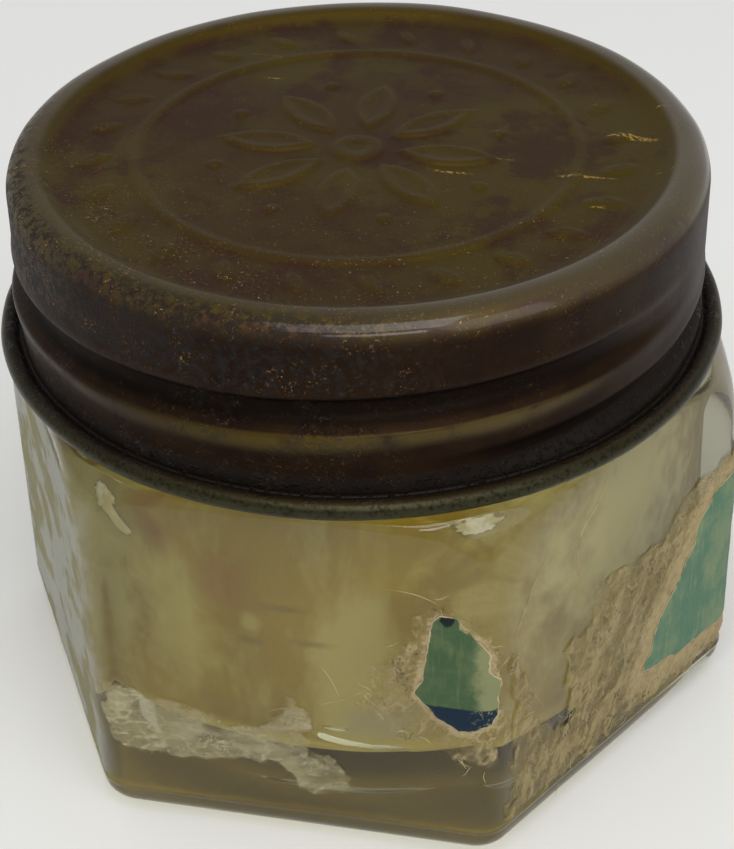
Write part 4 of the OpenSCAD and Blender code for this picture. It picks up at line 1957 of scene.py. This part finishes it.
@dataclass
class Studio:
    """A pale floor, soft lamps and the camera."""

    azimuth: float = 13.0
    elevation: float = 34.3
    roll: float = -1.5
    distance: float = 167.4
    aim_z: float = 21.29
    image_px: tuple[float, float] = (734.0, 849.0)
    focal_px: float = 2194.3
    centre_px: tuple[float, float] = (363.91, 404.56)
    sensor: float = 36.0
    nearest_m: float = 0.01
    floor_half_m: float = 1.5
    floor_gap: float = 0.05
    ambient: float = 0.5
    lamps: tuple[Lamp, ...] = (
        Lamp("overhead", (0.06, -0.24, 0.5), (0.4, 0.3), 1.05),
        Lamp("window", (0.45, -0.3, 0.35), (0.35, 0.45), 0.42),
        Lamp("fill", (0.18, -0.58, 0.44), (0.34, 0.12), 0.55),
    )

    def _camera(self) -> None:
        """Sets the camera where the picture was taken from."""
        a, e, t = (math.radians(v) for v in (self.azimuth, self.elevation, self.roll))
        back = Vector((math.sin(a) * math.cos(e), -math.cos(a) * math.cos(e), math.sin(e)))
        level = Vector((math.cos(a), math.sin(a), 0))
        upright = back.cross(level)
        right = math.cos(t) * level + math.sin(t) * upright
        up = math.cos(t) * upright - math.sin(t) * level
        data = bpy.data.cameras.new("camera")
        longest = max(self.image_px)
        data.sensor_width = self.sensor
        data.lens = self.focal_px * self.sensor / longest
        data.shift_x = (self.image_px[0] / 2 - self.centre_px[0]) / longest
        data.shift_y = (self.centre_px[1] - self.image_px[1] / 2) / longest
        data.clip_start = self.nearest_m
        camera = bpy.data.objects.new("camera", data)
        spot = Vector((0, 0, self.aim_z * MM)) + back * self.distance * MM
        camera.matrix_world = Matrix.Translation(spot) @ Matrix((right, up, back)).transposed().to_4x4()
        bpy.context.scene.collection.objects.link(camera)
        bpy.context.scene.camera = camera

    def _floor(self) -> None:
        """Lays the floor under the pot."""
        half = self.floor_half_m
        low = -self.floor_gap * MM
        mesh = bpy.data.meshes.new("floor")
        corners = [(-half, -half, low), (half, -half, low), (half, half, low), (-half, half, low)]
        mesh.from_pydata(corners, [], [(0, 1, 2, 3)])
        mesh.materials.append(PaleFloor().material())
        floor = bpy.data.objects.new("floor", mesh)
        bpy.context.scene.collection.objects.link(floor)

    def _world(self) -> None:
        """Sets the even light of the room."""
        world = bpy.data.worlds.new("room")
        world.use_nodes = True
        back = world.node_tree.nodes["Background"]
        back.inputs["Color"].default_value = (1, 1, 1, 1)
        back.inputs["Strength"].default_value = self.ambient
        bpy.context.scene.world = world

    def build(self) -> None:
        """Sets up the camera, the floor and the light."""
        bpy.context.scene.view_settings.view_transform = "Standard"
        self._camera()
        self._floor()
        self._world()
        for lamp in self.lamps:
            lamp.hang()


def main() -> None:
    """Builds the studio and the pot's pieces in order."""
    logging.basicConfig(level=logging.INFO, format="%(name)s %(message)s")
    Studio().build()
    screw = Screw()
    jar = Jar(screw)
    jar.build()
    Filling(jar).build()
    Label(jar).build()
    Liner(jar).build()
    Lid(screw).build()


if __name__ == "__main__":
    main()
